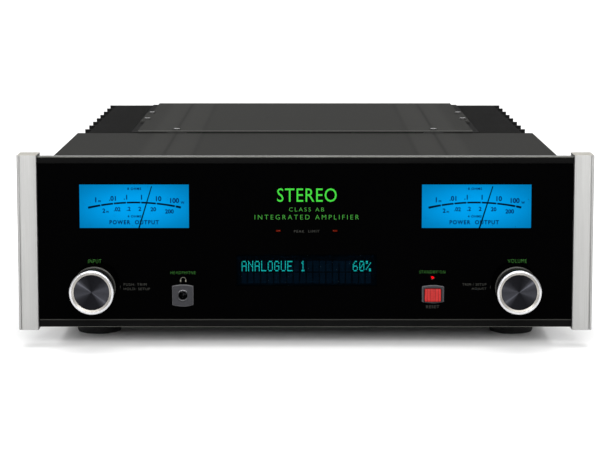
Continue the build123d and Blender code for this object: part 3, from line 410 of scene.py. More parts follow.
def add_prism(bm, pts, axis, a0, a1, mat=0):
    """Closed prism of a polygon. axis 'x': pts are (y, z); 'y': (x, z); 'z': (x, y)."""
    def P(p, a):
        if axis == "x":
            return (a * MM, p[0] * MM, p[1] * MM)
        if axis == "y":
            return (p[0] * MM, a * MM, p[1] * MM)
        return (p[0] * MM, p[1] * MM, a * MM)
    lo = [bm.verts.new(P(p, a0)) for p in pts]
    hi = [bm.verts.new(P(p, a1)) for p in pts]
    n = len(pts)
    bm.faces.new(lo[::-1]).material_index = mat
    bm.faces.new(hi).material_index = mat
    for i in range(n):
        j = (i + 1) % n
        bm.faces.new((lo[i], lo[j], hi[j], hi[i])).material_index = mat


def add_lathe(bm, prof, cx, cy, axis="y", segs=96, mats=None, radius=None, closed=True):
    """Body of revolution. axis 'y': prof is (r, y), centre (cx, z=cy). axis 'z': prof is (r, z), centre (cx, cy).
    radius(r, a, k) may change a ring's radius with the angle. Profile points with r = 0 close to a pole."""
    rings = []
    for k, (r, a) in enumerate(prof):
        def P(rr, t):
            if axis == "y":
                return ((cx + rr * math.sin(t)) * MM, a * MM, (cy + rr * math.cos(t)) * MM)
            return ((cx + rr * math.cos(t)) * MM, (cy + rr * math.sin(t)) * MM, a * MM)
        if r < 1e-6:
            rings.append([bm.verts.new(P(0, 0))])
        else:
            rings.append([bm.verts.new(P(radius(r, 2 * math.pi * i / segs, k) if radius else r, 2 * math.pi * i / segs)) for i in range(segs)])
    n = len(prof)
    pairs = [(k, (k + 1) % n) for k in range(n if closed else n - 1)]
    for k, j in pairs:
        A, B = rings[k], rings[j]
        if len(A) == 1 and len(B) == 1:
            continue
        mi = mats[k] if mats else 0
        for i in range(segs):
            i2 = (i + 1) % segs
            if len(A) == 1:
                f = bm.faces.new((A[0], B[i2], B[i]))
            elif len(B) == 1:
                f = bm.faces.new((A[i], A[i2], B[0]))
            else:
                f = bm.faces.new((A[i], A[i2], B[i2], B[i]))
            f.material_index = mi


def arc(cx, cy, r, a0, a1, n):
    return [(cx + r * math.cos(math.radians(a0 + (a1 - a0) * i / n)), cy + r * math.sin(math.radians(a0 + (a1 - a0) * i / n))) for i in range(n + 1)]


def round_poly(pts, radii, n=6):
    """Polygon with rounded corners."""
    out = []
    m = len(pts)
    for i in range(m):
        p0, p1, p2 = Vector(pts[i - 1]), Vector(pts[i]), Vector(pts[(i + 1) % m])
        r = radii[i] if isinstance(radii, (list, tuple)) else radii
        if r <= 0:
            out.append(tuple(p1)); continue
        d0, d1 = (p0 - p1).normalized(), (p2 - p1).normalized()
        half = math.acos(max(-1, min(1, d0.dot(d1)))) / 2
        t = min(r / math.tan(half), (p0 - p1).length * 0.49, (p2 - p1).length * 0.49)
        rr = t * math.tan(half)
        c = p1 + (d0 + d1).normalized() * (rr / math.sin(half))
        s, e = p1 + d0 * t, p1 + d1 * t
        a0 = math.atan2(s.y - c.y, s.x - c.x); a1 = math.atan2(e.y - c.y, e.x - c.x)
        while a1 - a0 > math.pi: a1 -= 2 * math.pi
        while a1 - a0 < -math.pi: a1 += 2 * math.pi
        for k in range(n + 1):
            a = a0 + (a1 - a0) * k / n
            out.append((c.x + rr * math.cos(a), c.y + rr * math.sin(a)))
    return out


def paint(node, mat):
    """A CAD node keeps its shape and takes a finished material."""
    ob = NODES[node]
    ob.data.materials.clear()
    ob.data.materials.append(mat)


TEXTS = {}


def text(group, words, x, z, width=None, height=None, y=None, size=3.0, align="CENTER", back=False, spacing=1.0, thick=0.05, bold=0.0):
    """Lettering as flat raised print, gathered by group. x, z is the middle of the word; width and height fit it."""
    cu = bpy.data.curves.new("t", "FONT")
    cu.body = words
    cu.size = 1.0
    cu.space_character = spacing
    cu.resolution_u = 3
    cu.offset = bold
    ob = bpy.data.objects.new("t", cu)
    bpy.context.scene.collection.objects.link(ob)
    bpy.context.view_layer.update()
    me = bpy.data.meshes.new_from_object(ob)
    bpy.data.objects.remove(ob)
    bpy.data.curves.remove(cu)
    xs = [v.co.x for v in me.vertices]; ys = [v.co.y for v in me.vertices]
    x0, x1, y0, y1 = min(xs), max(xs), min(ys), max(ys)
    sx = sy = size
    if width: sx = width / (x1 - x0)
    if height: sy = height / (y1 - y0)
    if width and not height: sy = sx
    if height and not width: sx = sy
    w = (x1 - x0) * sx
    dx = {"CENTER": 0.0, "LEFT": w / 2, "RIGHT": -w / 2}[align]
    pts = []
    for v in me.vertices:
        px = (v.co.x - (x0 + x1) / 2) * sx + dx
        pz = (v.co.y - (y0 + y1) / 2) * sy
        pts.append((px, pz))
    polys = [tuple(p.vertices) for p in me.polygons]
    bpy.data.meshes.remove(me)
    TEXTS.setdefault(group, []).append((pts, polys, x, z, y, back, thick))


def flush_texts(group, name, mat, body):
    bm = bmesh.new()
    for pts, polys, x, z, y, back, thick in TEXTS.pop(group, []):
        s = -1 if back else 1
        # y is the surface the print sits on; it stands proud of it by thick
        yy = y + thick if back else y - thick
        vs = [bm.verts.new(((x + s * px) * MM, yy * MM, (z + pz) * MM)) for px, pz in pts]
        fs = []
        for p in polys:
            try:
                fs.append(bm.faces.new([vs[i] for i in p]))
            except ValueError:
                pass
        bmesh.ops.recalc_face_normals(bm, faces=fs)
        nrm = sum((f.normal for f in fs), Vector())
        want = 1.0 if back else -1.0
        if nrm.y * want < 0:
            bmesh.ops.reverse_faces(bm, faces=fs)
        # side walls down to the surface
        edges = [e for e in {e for f in fs for e in f.edges} if len(e.link_faces) == 1]
        base = {}
        for e in edges:
            for v in e.verts:
                if v not in base:
                    base[v] = bm.verts.new((v.co.x, y * MM, v.co.z))
        for e in edges:
            a, b = e.verts
            bm.faces.new((a, b, base[b], base[a]))
    me = bpy.data.meshes.new(name)
    bm.to_mesh(me)
    bm.free()
    ob = bpy.data.objects.new(name, me)
    bpy.context.scene.collection.objects.link(ob)
    me.materials.append(mat)
    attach(ob, body)
    return ob


# ------------------------------------------------------------------ end caps
for side, tag in ((-1, "left"), (1, "right")):
    xi, xo = CAP_IN, HALF_W
    y0, y1 = YF, cap_hi[1]
    gx = xo - 1.95
    prof = [(xi, y1), (xi, y0 + 0.9), (xi + 0.25, y0 + 0.3), (xi + 0.8, y0), (gx - 0.40, y0), (gx - 0.30, y0 + 0.2), (gx - 0.25, y0 + 0.7), (gx + 0.25, y0 + 0.7), (gx + 0.30, y0 + 0.2), (gx + 0.40, y0)]
    prof += [(xo - 0.9, y0)] + [(xo - 0.9 + 0.9 * math.sin(math.radians(a)), y0 + 0.9 - 0.9 * math.cos(math.radians(a))) for a in (15, 30, 45, 60, 75, 90)]
    prof += [(xo, y1 - 0.5), (xo - 0.5, y1)]
    bm = bmesh.new()
    add_prism(bm, [(side * p[0], p[1]) for p in prof], "z", CAP_Z0, CAP_Z1)
    # the top faces take the warm-tinted material, a painted reflection
    for f in bm.faces:
        if f.calc_center_median().z > (CAP_Z1 - 0.01) * MM:
            f.material_index = 1
    from_bm(f"end_cap_{tag}_shell", bm, [silver, silver_top_painted_reflection], "chassis", [f"end_cap_{tag}"], bevel=0.28, segments=3, bevel_angle=50)

# ------------------------------------------------------------------ front glass with clear windows
def grid_plate(bm, xs, zs, y0, y1, kind):
    """Plate made of rectangular cells. kind(cx, cz) is a material index, or None for a hole."""
    xs, zs = sorted(set(xs)), sorted(set(zs))
    grid = {}
    def vert(i, j, y):
        key = (i, j, y)
        if key not in grid:
            grid[key] = bm.verts.new((xs[i] * MM, y * MM, zs[j] * MM))
        return grid[key]
    nx, nz = len(xs) - 1, len(zs) - 1
    cell = [[kind((xs[i] + xs[i + 1]) / 2, (zs[j] + zs[j + 1]) / 2) for j in range(nz)] for i in range(nx)]
    get = lambda i, j: cell[i][j] if 0 <= i < nx and 0 <= j < nz else None
    for i in range(nx):
        for j in range(nz):
            c = cell[i][j]
            if c is None:
                continue
            f = bm.faces.new([vert(i, j, y0), vert(i + 1, j, y0), vert(i + 1, j + 1, y0), vert(i, j + 1, y0)]); f.material_index = c
            f = bm.faces.new([vert(i, j, y1), vert(i, j + 1, y1), vert(i + 1, j + 1, y1), vert(i + 1, j, y1)]); f.material_index = c
            for (a, b, other) in (((i, j), (i + 1, j), get(i, j - 1)), ((i + 1, j), (i + 1, j + 1), get(i + 1, j)), ((i + 1, j + 1), (i, j + 1), get(i, j + 1)), ((i, j + 1), (i, j), get(i - 1, j))):
                if other is None:
                    f = bm.faces.new([vert(*a, y0), vert(*a, y1), vert(*b, y1), vert(*b, y0)]); f.material_index = 0 if c == 0 else c


rects = []
for s in (-1, 1):
    rects.append((s * MX - WIN[0] / 2, s * MX + WIN[0] / 2, WIN[1], WIN[2], 1))
rects.append((*DISP, 1))
rects += [(97.4, 100.6, 53.0, 56.2, 1), (-23.4, -18.6, 90.4, 92.6, 1), (20.6, 25.4, 90.4, 92.6, 1)]
rects += [(s * KX - 4.5, s * KX + 4.5, KZ - 4.5, KZ + 4.5, None) for s in (-1, 1)]
rects.append((JX - 4.9, JX + 4.9, JZ - 4.9, JZ + 4.9, None))
bx_c = (bt_lo[0] + bt_hi[0]) / 2
bz_c = (bt_lo[2] + bt_hi[2]) / 2
rects.append((bx_c - 7.3, bx_c + 7.3, bz_c - 6.1, bz_c + 6.1, None))


def glass_kind(cx, cz):
    for x0, x1, z0, z1, k in rects:
        if x0 < cx < x1 and z0 < cz < z1:
            return k
    return 0


bm = bmesh.new()
xs = [g_lo[0], g_hi[0]] + [v for r in rects for v in r[:2]]
zs = [GZ0, GZ1] + [v for r in rects for v in r[2:4]]
grid_plate(bm, xs, zs, GY0, GY1, glass_kind)
from_bm("front_glass_pane", bm, [glass_black, glass_clear], "chassis", ["front_glass"], angle=20)

# ------------------------------------------------------------------ trims
t_lo, t_hi = nb("top_trim")
bm = bmesh.new()
prof = [(t_lo[1] + 0.9, t_lo[2]), (t_lo[1] + 0.15, t_lo[2] + 0.5), (t_lo[1], t_lo[2] + 1.0), (t_lo[1], t_hi[2] - 0.55), (t_lo[1] + 0.18, t_hi[2] - 0.16), (t_lo[1] + 0.55, t_hi[2]), (t_hi[1], t_hi[2]), (t_hi[1], t_lo[2])]
n = len(prof)
add_prism(bm, prof, "x", t_lo[0], t_hi[0], 0)
# the top faces and top chamfer take the painted reflection material
for f in bm.faces:
    c = f.calc_center_median()
    if c.z > (t_hi[2] - 0.2) * MM:
        f.material_index = 1
from_bm("top_trim_bar", bm, [trim_dark, trim_top_painted_reflection], "chassis", ["top_trim"], angle=50)
b_lo, b_hi = nb("bottom_trim")
bm = bmesh.new()
y, z0, z1 = b_lo[1], b_lo[2], b_hi[2]
prof = [(y + 0.25, z0), (y, z0 + 0.25), (y, z0 + 0.75), (y + 0.25, z0 + 1.0), (y + 0.7, z0 + 1.0), (y + 0.7, z1 - 0.9), (y + 0.2, z1 - 0.7), (y + 0.2, z1 - 0.2), (y + 0.5, z1), (b_hi[1], z1), (b_hi[1], z0)]
add_prism(bm, prof, "x", b_lo[0], b_hi[0], 0)
# upward faces and the upper edge take a painted highlight, the lower front chamfer a brighter painted highlight
for f in bm.faces:
    c = f.calc_center_median()
    f.normal_update()
    if f.normal.z > 0.3 or c.z > (z1 - 0.85) * MM or (c.z < (z0 + 1.05) * MM and f.normal.y < -0.3):
        f.material_index = 2 if c.z < (z0 + 1.05) * MM else 1
from_bm("bottom_trim_bar", bm, [trim_dark, trim_edge_highlight, trim_lip_highlight], "chassis", ["bottom_trim"], angle=50)

# ------------------------------------------------------------------ knobs
for side, tag, ring_m, band_m, face_m in ((-1, "input", ring_l, band_l, face_l), (1, "volume", ring_r, band_r, face_r)):
    cx = side * KX
    f_r = 13.65
    # bright ring: turned inner band, fine groove, rounded nose
    prof = [(f_r, KY0 + 1.55), (f_r + 0.05, KY0 + 1.15), (f_r + 1.35, KY0 + 0.42), (f_r + 1.48, KY0 + 0.50), (f_r + 1.58, KY0 + 0.50), (f_r + 1.72, KY0 + 0.12), (f_r + 1.95, KY0)]
    n_band = 2
    prof += [(KR - 1.3, KY0)] + [(KR - 1.3 + 1.3 * math.sin(math.radians(a)), KY0 + 1.3 - 1.3 * math.cos(math.radians(a))) for a in (12, 25, 40, 55, 72, 90)]
    prof += [(KR, KY0 + 4.6), (KR - 0.3, KY0 + 5.0), (f_r, KY0 + 5.0)]
    bm = bmesh.new(); add_lathe(bm, prof, cx, KZ, "y", 160, mats=[1 if k in (0, 1, 2, 3) else 0 for k in range(len(prof))])
    from_bm(f"{tag}_knob_bright_ring", bm, [ring_m, band_m], f"{tag}_turn", [f"{tag}_knob_ring"], angle=24)
    # spun face: shallow dish with fine turned steps
    prof = [(0, KY0 + 1.62)]
    steps = 26
    for i in range(1, steps + 1):
        r = f_r * i / steps
        y = KY0 + 1.62 - 0.10 * (r / f_r) ** 2
        prof += [(r - 0.26, y - 0.008), (r - 0.12, y + 0.010)]
    prof += [(f_r, KY0 + 1.58), (f_r, KY0 + 4.9), (0, KY0 + 4.9)]
    bm = bmesh.new(); add_lathe(bm, prof, cx, KZ, "y", 160)
    from_bm(f"{tag}_knob_spun_face", bm, [face_m], f"{tag}_turn", angle=60)
    # grip: fine axial ribs, waist, bright-edged base flange near the glass
    ribs = 72
    def rad(r, t, k):
        return r - (0.42 * (0.5 - 0.5 * math.cos(ribs * t)) if 3 <= k <= 6 else 0.0)
    prof = [(5.0, KY0 + 5.0), (15.5, KY0 + 5.0), (15.8, KY0 + 5.5), (16.1, KY0 + 6.0), (16.15, KY0 + 6.6), (16.15, KY1 - 4.2), (16.1, KY1 - 3.8), (15.3, KY1 - 3.4), (15.3, KY1 - 1.7), (16.3, KY1 - 1.55), (16.5, KY1 - 1.35), (16.5, KY1 - 0.95), (16.3, KY1 - 0.8), (16.3, KY1), (5.0, KY1)]
    bm = bmesh.new(); add_lathe(bm, prof, cx, KZ, "y", ribs * 6, radius=rad, mats=[1 if k in (9, 10, 11) else 0 for k in range(len(prof))])
    from_bm(f"{tag}_knob_grip", bm, [grip_mat, rim_mat], f"{tag}_turn", [f"{tag}_knob"], angle=40)

# ------------------------------------------------------------------ headphone socket
def bowed(cx, cz, w, h, bow, r, n=10):
    """Outline with straight sides and gently bowed top and bottom."""
    pts = []
    for i in range(n + 1):
        t = -1 + 2 * i / n
        pts.append((cx + t * w / 2, cz + h / 2 + bow * (1 - t * t)))
    for i in range(n + 1):
        t = 1 - 2 * i / n
        pts.append((cx + t * w / 2, cz - h / 2 - bow * (1 - t * t)))
    radii = [0.0] * len(pts)
    radii[0] = radii[n] = radii[n + 1] = radii[-1] = r
    return round_poly(pts, radii, 5)


def ring_prism(bm, outer, inner, y0, y1, chamfer=0.0, mat=0, edge=None):
    """Frame between two outlines with the same number of points, from y0 (front) to y1."""
    n = len(outer)
    cx = sum(p[0] for p in outer) / n; cz = sum(p[1] for p in outer) / n
    def shrink(pts, d):
        return [(cx + (p[0] - cx) * (1 - d / max(1e-6, math.hypot(p[0] - cx, p[1] - cz))), cz + (p[1] - cz) * (1 - d / max(1e-6, math.hypot(p[0] - cx, p[1] - cz)))) for p in pts]
    loops = [(outer, y1), (outer, y0 + chamfer), (shrink(outer, chamfer), y0), (shrink(inner, -chamfer * 0.7), y0), (inner, y0 + chamfer * 0.7), (inner, y1)]
    vs = [[bm.verts.new((p[0] * MM, y * MM, p[1] * MM)) for p in pts] for pts, y in loops]
    for k, (a, b) in enumerate(zip(vs, vs[1:] + vs[:1])):
        for i in range(n):
            j = (i + 1) % n
            # the outer wall and front chamfer take the edge material, a painted highlight
            bm.faces.new((a[i], a[j], b[j], b[i])).material_index = edge if edge is not None and k in (0, 1) else mat


def resample(outer, shape):
    """Points of a second outline, one for each point of outer, along the same rays."""
    n = len(outer)
    cx = sum(p[0] for p in outer) / n; cz = sum(p[1] for p in outer) / n
    return [shape(math.atan2(p[1] - cz, p[0] - cx), cx, cz) for p in outer]


outline = bowed(JX, JZ, 16.4, 14.9, 1.15, 1.3, 24)
jlo, jhi = nb("headphone_bezel")
bm = bmesh.new()
inner = resample(outline, lambda a, cx, cz: (JX + 4.62 * math.cos(a), JZ + 4.62 * math.sin(a)))
ring_prism(bm, outline, inner, jlo[1], jhi[1], 0.55, edge=1)
from_bm("headphone_bezel_frame", bm, [bezel_mat, bezel_edge_highlight], "chassis", ["headphone_bezel"], angle=28)
jk_lo, jk_hi = nb("headphone_jack")
bm = bmesh.new()
jy = jk_lo[1]
prof = [(3.3, jk_hi[1] - 4.5), (3.3, jy + 0.7), (3.42, jy + 0.3), (3.7, jy + 0.05), (4.1, jy), (4.4, jy + 0.12), (4.55, jy + 0.5), (4.55, jy + 15.0), (8.2, jy + 15.0), (8.2, jk_hi[1]), (0, jk_hi[1]), (0, jk_hi[1] - 4.5)]
add_lathe(bm, prof, JX, JZ, "y", 72)
from_bm("headphone_jack_nose", bm, [nose_mat], "chassis", ["headphone_jack"], angle=30)

# ------------------------------------------------------------------ standby button
sb_lo, sb_hi = nb("standby_bezel")
bcx, bcz = (sb_lo[0] + sb_hi[0]) / 2, (sb_lo[2] + sb_hi[2]) / 2
outline = bowed(bcx, bcz, 17.0, 12.0, 1.0, 3.3, 24)
hw, hh, hr = (bt_hi[0] - bt_lo[0]) / 2 + 0.55, (bt_hi[2] - bt_lo[2]) / 2 + 0.45, 1.6
def rrect(a, cx, cz, hw=hw, hh=hh, rr=hr):
    """Point on a rounded rectangle about the button's centre, at angle a."""
    c, s = math.cos(a), math.sin(a)
    t = min(hw / abs(c) if abs(c) > 1e-9 else 1e9, hh / abs(s) if abs(s) > 1e-9 else 1e9)
    x, z = c * t, s * t
    if abs(x) > hw - rr and abs(z) > hh - rr:
        kx, kz = math.copysign(hw - rr, x), math.copysign(hh - rr, z)
        b = c * kx + s * kz
        disc = b * b - (kx * kx + kz * kz - rr * rr)
        t = b + math.sqrt(max(0.0, disc))
        x, z = c * t, s * t
    return (bx_c + x, bz_c + z)
inner = resample(outline, rrect)
bm = bmesh.new()
ring_prism(bm, outline, inner, sb_lo[1], sb_lo[1] + 1.8, 0.5, edge=1)
ring_prism(bm, resample(outline, lambda a, cx, cz: rrect(a, cx, cz, 7.2, 6.0, 1.2)), inner, sb_lo[1] + 1.8, sb_hi[1], 0.0)
from_bm("standby_bezel_frame", bm, [bezel_mat, bezel_edge_highlight], "chassis", ["standby_bezel"], angle=28)
# button: crowned face with vertical and horizontal ribs
bm = bmesh.new()
bw, bh = (bt_hi[0] - bt_lo[0]) / 2, (bt_hi[2] - bt_lo[2]) / 2
NXg, NZg = 62, 50
face_y = bt_lo[1]
gridv = []
for i in range(NXg + 1):
    col = []
    for j in range(NZg + 1):
        u, v = -1 + 2 * i / NXg, -1 + 2 * j / NZg
        x, z = u * bw, v * bh
        # rounded corners in plan
        cxr, czr = bw - 1.0, bh - 1.0
        if abs(x) > cxr and abs(z) > czr:
            dx, dz = abs(x) - cxr, abs(z) - czr
            d = max(dx, dz)
            l = math.hypot(dx, dz)
            if l > 1e-9:
                x = math.copysign(cxr + dx * d / l, x); z = math.copysign(czr + dz * d / l, z)
        edge = max(abs(u) ** 14, abs(v) ** 14)
        inside = max(0.0, 1 - max(abs(u), abs(v)) ** 10)
        rib = 0.10 * (0.5 - 0.5 * math.cos(2 * math.pi * 6 * (v + 1) / 2)) * inside + 0.05 * (0.5 - 0.5 * math.cos(2 * math.pi * 12 * (u + 1) / 2)) * inside
        y = face_y + 0.05 + 0.35 * (u * u * 0.5 + v * v * 0.5) * 0.5 + edge * 0.5 + rib
        col.append(bm.verts.new(((bx_c + x) * MM, y * MM, (bz_c + z) * MM)))
    gridv.append(col)
for i in range(NXg):
    for j in range(NZg):
        bm.faces.new((gridv[i][j], gridv[i + 1][j], gridv[i + 1][j + 1], gridv[i][j + 1]))
rim = [gridv[i][0] for i in range(NXg)] + [gridv[NXg][j] for j in range(NZg)] + [gridv[i][NZg] for i in range(NXg, 0, -1)] + [gridv[0][j] for j in range(NZg, 0, -1)]
backy = face_y + 9.3
backv = [bm.verts.new((v.co.x, backy * MM, v.co.z)) for v in rim]
for i in range(len(rim)):
    j = (i + 1) % len(rim)
    bm.faces.new((rim[i], rim[j], backv[j], backv[i]))
bm.faces.new(backv)
add_box(bm, bx_c - 2, bx_c + 2, backy, bt_hi[1], bz_c - 2, bz_c + 2)
from_bm("standby_button_cap", bm, [button_mat], "standby", ["standby_button"], angle=50)

# ------------------------------------------------------------------ lamps
l_lo, l_hi = nb("indicator_lamps")
bm = bmesh.new()
ly = GY1 + 0.15
prof = [(0, ly), (0.45, ly + 0.05), (0.75, ly + 0.22), (0.9, ly + 0.6), (1.0, ly + 8.5), (1.1, ly + 9.0), (1.1, l_hi[1]), (0, l_hi[1])]
add_lathe(bm, prof, 99.0, 54.6, "y", 40)
from_bm("standby_lamp", bm, [lamp_on], "chassis", ["indicator_lamps"])
bm = bmesh.new()
for x in (-21.0, 23.0):
    add_prism(bm, round_poly([(x - 1.75, 90.75), (x + 1.75, 90.75), (x + 1.75, 92.15), (x - 1.75, 92.15)], 0.4, 4), "y", ly, ly + 8.8)
from_bm("peak_lamps", bm, [lamp_peak], "chassis", bevel=0.2)

# ------------------------------------------------------------------ meters
for s, tag, mat in ((-1, "left", blue_l), (1, "right", blue_r)):
    cx = s * MX
    paint(f"meter_scale_{tag}", mat)
    # arc in seven strokes with fine gaps at the scale points
    R, apex = 164.0, 112.5
    zc = apex - R
    bm = bmesh.new()
    cuts = [-36.6, -26.7, -16.8, -6.8, 4.4, 16.5, 31.2, 35.6]
    for a, b in zip(cuts, cuts[1:]):
        xa, xb = a + (0.35 if a > -36 else 0), b - (0.35 if b < 35 else 0)
        n = 14
        outer, innr = [], []
        for i in range(n + 1):
            x = xa + (xb - xa) * i / n
            th = math.asin(x / R)
            half = 0.66 + 0.20 * min(1.0, abs(x) / 36.0) ** 4
            outer.append((cx + (R + half) * math.sin(th), zc + (R + half) * math.cos(th)))
            innr.append((cx + (R - half) * math.sin(th), zc + (R - half) * math.cos(th)))
        add_prism(bm, outer + innr[::-1], "y", SCALE_Y - 0.05, SCALE_Y)
    from_bm(f"meter_arc_{tag}", bm, [ink_bold], "chassis")
    y = SCALE_Y
    B = 0.030
    for w, dx, z, h in (("1", -30.6, 114.6, 3.9), (".01", -17.6, 115.7, 3.9), (".1", -7.5, 116.6, 3.8), ("1", 5.0, 116.6, 3.8), ("10", 18.3, 115.5, 4.0), ("100", 30.7, 114.0, 4.0)):
        text("ink" + tag, w, cx + dx, z, height=h, y=y, spacing=1.0, bold=B)
    text("ink" + tag, "m", cx - 27.7, 113.5, height=1.5, y=y, bold=B)
    text("ink" + tag, "W", cx + 36.9, 112.4, height=1.9, y=y, bold=B)
    for w, dx, z, h in (("2", -24.4, 106.1, 3.4), (".02", -14.0, 107.2, 3.3), (".2", -5.1, 107.5, 3.3), ("2", 3.6, 107.5, 3.3), ("20", 14.1, 107.2, 3.3), ("200", 26.6, 105.5, 3.4)):
        text("ink" + tag, w, cx + dx, z, height=h, y=y, spacing=1.0, bold=B)
    text("ink" + tag, "m", cx - 21.6, 105.2, height=1.4, y=y, bold=B)
    text("ink" + tag, "8 OHMS", cx - 0.6, 123.3, width=10.8, height=1.9, y=y, spacing=1.2, bold=B)
    text("ink" + tag, "4 OHMS", cx - 0.6, 101.6, width=10.8, height=1.9, y=y, spacing=1.2, bold=B)
    text("ink" + tag, "POWER  OUTPUT", cx - 0.9, 97.0, width=38.4, height=3.3, y=y, spacing=1.25, bold=B)
    flush_texts("ink" + tag, f"meter_numerals_{tag}", ink, "chassis")
    # needle: hub, slim tapering blade and its balance weight, turned with the CAD needle
    n_lo, n_hi = nb(f"meter_needle_{tag}")
    lean = math.radians(17.1)
    ux, uz = math.sin(lean), math.cos(lean)
    px, pz = cx, 83.0
    def along(d, w):
        return (px + ux * d + uz * w, pz + uz * d - ux * w)
    bm = bmesh.new()
    add_prism(bm, [along(-3.0, -0.62), along(-3.0, 0.62), along(44.4, 0.36), along(44.6, 0.0), along(44.4, -0.36)], "y", n_lo[1] + 0.45, n_lo[1] + 0.95)
    add_prism(bm, round_poly([along(-11.2, -2.2), along(-11.2, 2.2), along(-4.4, 2.2), along(-4.4, -2.2)], 0.6, 4), "y", n_lo[1] + 0.3, n_lo[1] + 1.3)
    add_prism(bm, [along(-4.6, -0.6), along(-4.6, 0.6), along(0, 0.6), along(0, -0.6)], "y", n_lo[1] + 0.45, n_lo[1] + 0.95)
    add_lathe(bm, [(0, n_lo[1] + 0.02), (2.2, n_lo[1] + 0.02), (2.9, n_lo[1] + 0.5), (3.0, n_lo[1] + 2.0), (0.8, n_lo[1] + 2.0), (0.8, n_hi[1]), (0, n_hi[1])], px, pz, "y", 48)
    from_bm(f"meter_needle_{tag}_blade", bm, [needle_mat], f"needle_{tag}", [f"meter_needle_{tag}"], angle=35)

# ------------------------------------------------------------------ display
paint("display_module", tube)
FONT = {
    "A": ["01110", "10001", "10001", "11111", "10001", "10001", "10001"],
    "N": ["10001", "11001", "10101", "10011", "10001", "10001", "10001"],
    "L": ["10000", "10000", "10000", "10000", "10000", "10000", "11111"],
    "O": ["01110", "10001", "10001", "10001", "10001", "10001", "01110"],
    "G": ["01110", "10001", "10000", "10111", "10001", "10001", "01110"],
    "U": ["10001", "10001", "10001", "10001", "10001", "10001", "01110"],
    "E": ["11111", "10000", "10000", "11110", "10000", "10000", "11111"],
    "1": ["00100", "01100", "00100", "00100", "00100", "00100", "01110"],
    "6": ["00110", "01000", "10000", "11110", "10001", "10001", "01110"],
    "0": ["01110", "10001", "10011", "10101", "11001", "10001", "01110"],
    "%": ["11000", "11001", "00010", "00100", "01000", "10011", "00011"],
}
line = "ANALOGUE 1       60%"
dm_lo = nb("display_module")[0]
dy = dm_lo[1]
bm_c, bm_d = bmesh.new(), bmesh.new()
PITCH, X0 = 5.08, -49.6
CW = 4.0
for row, (zb, zt) in enumerate(((59.5, 67.9), (50.1, 58.4))):
    for col in range(20):
        xa = X0 + PITCH * col
        ch = line[col] if row == 0 and col < len(line) else " "
        glyph = FONT.get(ch)
        pw, ph = CW / 5, (zt - zb) / 7
        for i in range(5):
            for j in range(7):
                on = glyph is not None and glyph[j][i] == "1"
                gx, gz = (0.15, 0.18) if on else (0.10, 0.13)
                x0, x1 = xa + pw * i + gx, xa + pw * (i + 1) - gx
                z1, z0 = zt - ph * j - gz, zt - ph * (j + 1) + gz
                b = bm_d if on else bm_c
                add_box(b, x0, x1, dy - 0.06, dy - 0.005, z0, z1)
from_bm("display_cells_dark", bm_c, [cell_mat], "chassis")
from_bm("display_cells_lit", bm_d, [dot_mat], "chassis")

# ------------------------------------------------------------------ legends on the glass
text("g1", "STEREO", 1.2, 119.8, width=46.0, height=10.6, y=GY0, spacing=1.08)
text("g2", "CLASS AB", 0.9, 108.6, width=27.0, height=3.0, y=GY0, spacing=1.4, bold=-0.012)
text("g2", "INTEGRATED AMPLIFIER", 1.1, 102.6, width=80.6, height=3.6, y=GY0, spacing=1.45, bold=-0.014)
text("g3", "INPUT", -163.2, 68.1, width=10.0, height=2.9, y=GY0, spacing=1.15, bold=-0.03)
text("g3", "VOLUME", 164.3, 68.3, width=14.6, height=2.9, y=GY0, spacing=1.15, bold=-0.03)
text("g3", "HEADPHONE", -94.8, 59.1, width=19.4, height=2.2, y=GY0, spacing=1.25, bold=-0.03)
text("g3", "STANDBY/ON", 98.5, 59.7, width=20.0, height=2.2, y=GY0, spacing=1.25, bold=-0.03)
text("k1", "PEAK  LIMIT", 1.0, 91.5, width=19.6, height=1.9, y=GY0, spacing=1.3)
text("k1", "RESET", 98.9, 32.3, width=10.0, height=2.3, y=GY0, spacing=1.3)
text("k1", "PUSH: TRIM", -141.0, 49.8, width=17.8, height=1.9, y=GY0, align="LEFT", spacing=1.2)
text("k1", "HOLD: SETUP", -141.0, 46.3, width=20.4, height=1.9, y=GY0, align="LEFT", spacing=1.2)
text("k1", "TRIM / SETUP", 140.5, 49.8, width=18.6, height=1.9, y=GY0, align="RIGHT", spacing=1.2)
text("k1", "ADJUST", 140.5, 46.3, width=11.5, height=1.9, y=GY0, align="RIGHT", spacing=1.2)
text("k1", "|", -143.6, 47.9, width=0.25, height=2.2, y=GY0)
text("k1", "|", 143.5, 47.9, width=0.25, height=2.2, y=GY0)
flush_texts("g1", "legend_word", green, "chassis")
flush_texts("g2", "legend_title", green_dim, "chassis")
flush_texts("g3", "legend_controls", green_small, "chassis")
flush_texts("k1", "legend_small", grey_ink, "chassis")
# headphone pictogram: band and two ear pads
bm = bmesh.new()
hx, hz = -94.8, 53.4
outer = arc(hx, hz, 2.2, 0, 180, 20); innr = arc(hx, hz, 1.9, 0, 180, 20)
add_prism(bm, outer + innr[::-1], "y", GY0 - 0.05, GY0)
for s in (-1, 1):
    add_prism(bm, round_poly([(hx + s * 1.6, hz - 1.6), (hx + s * 2.4, hz - 1.6), (hx + s * 2.4, hz + 0.1), (hx + s * 1.6, hz + 0.1)], 0.3, 4), "y", GY0 - 0.05, GY0)
from_bm("legend_headphone_icon", bm, [icon_ink], "chassis")

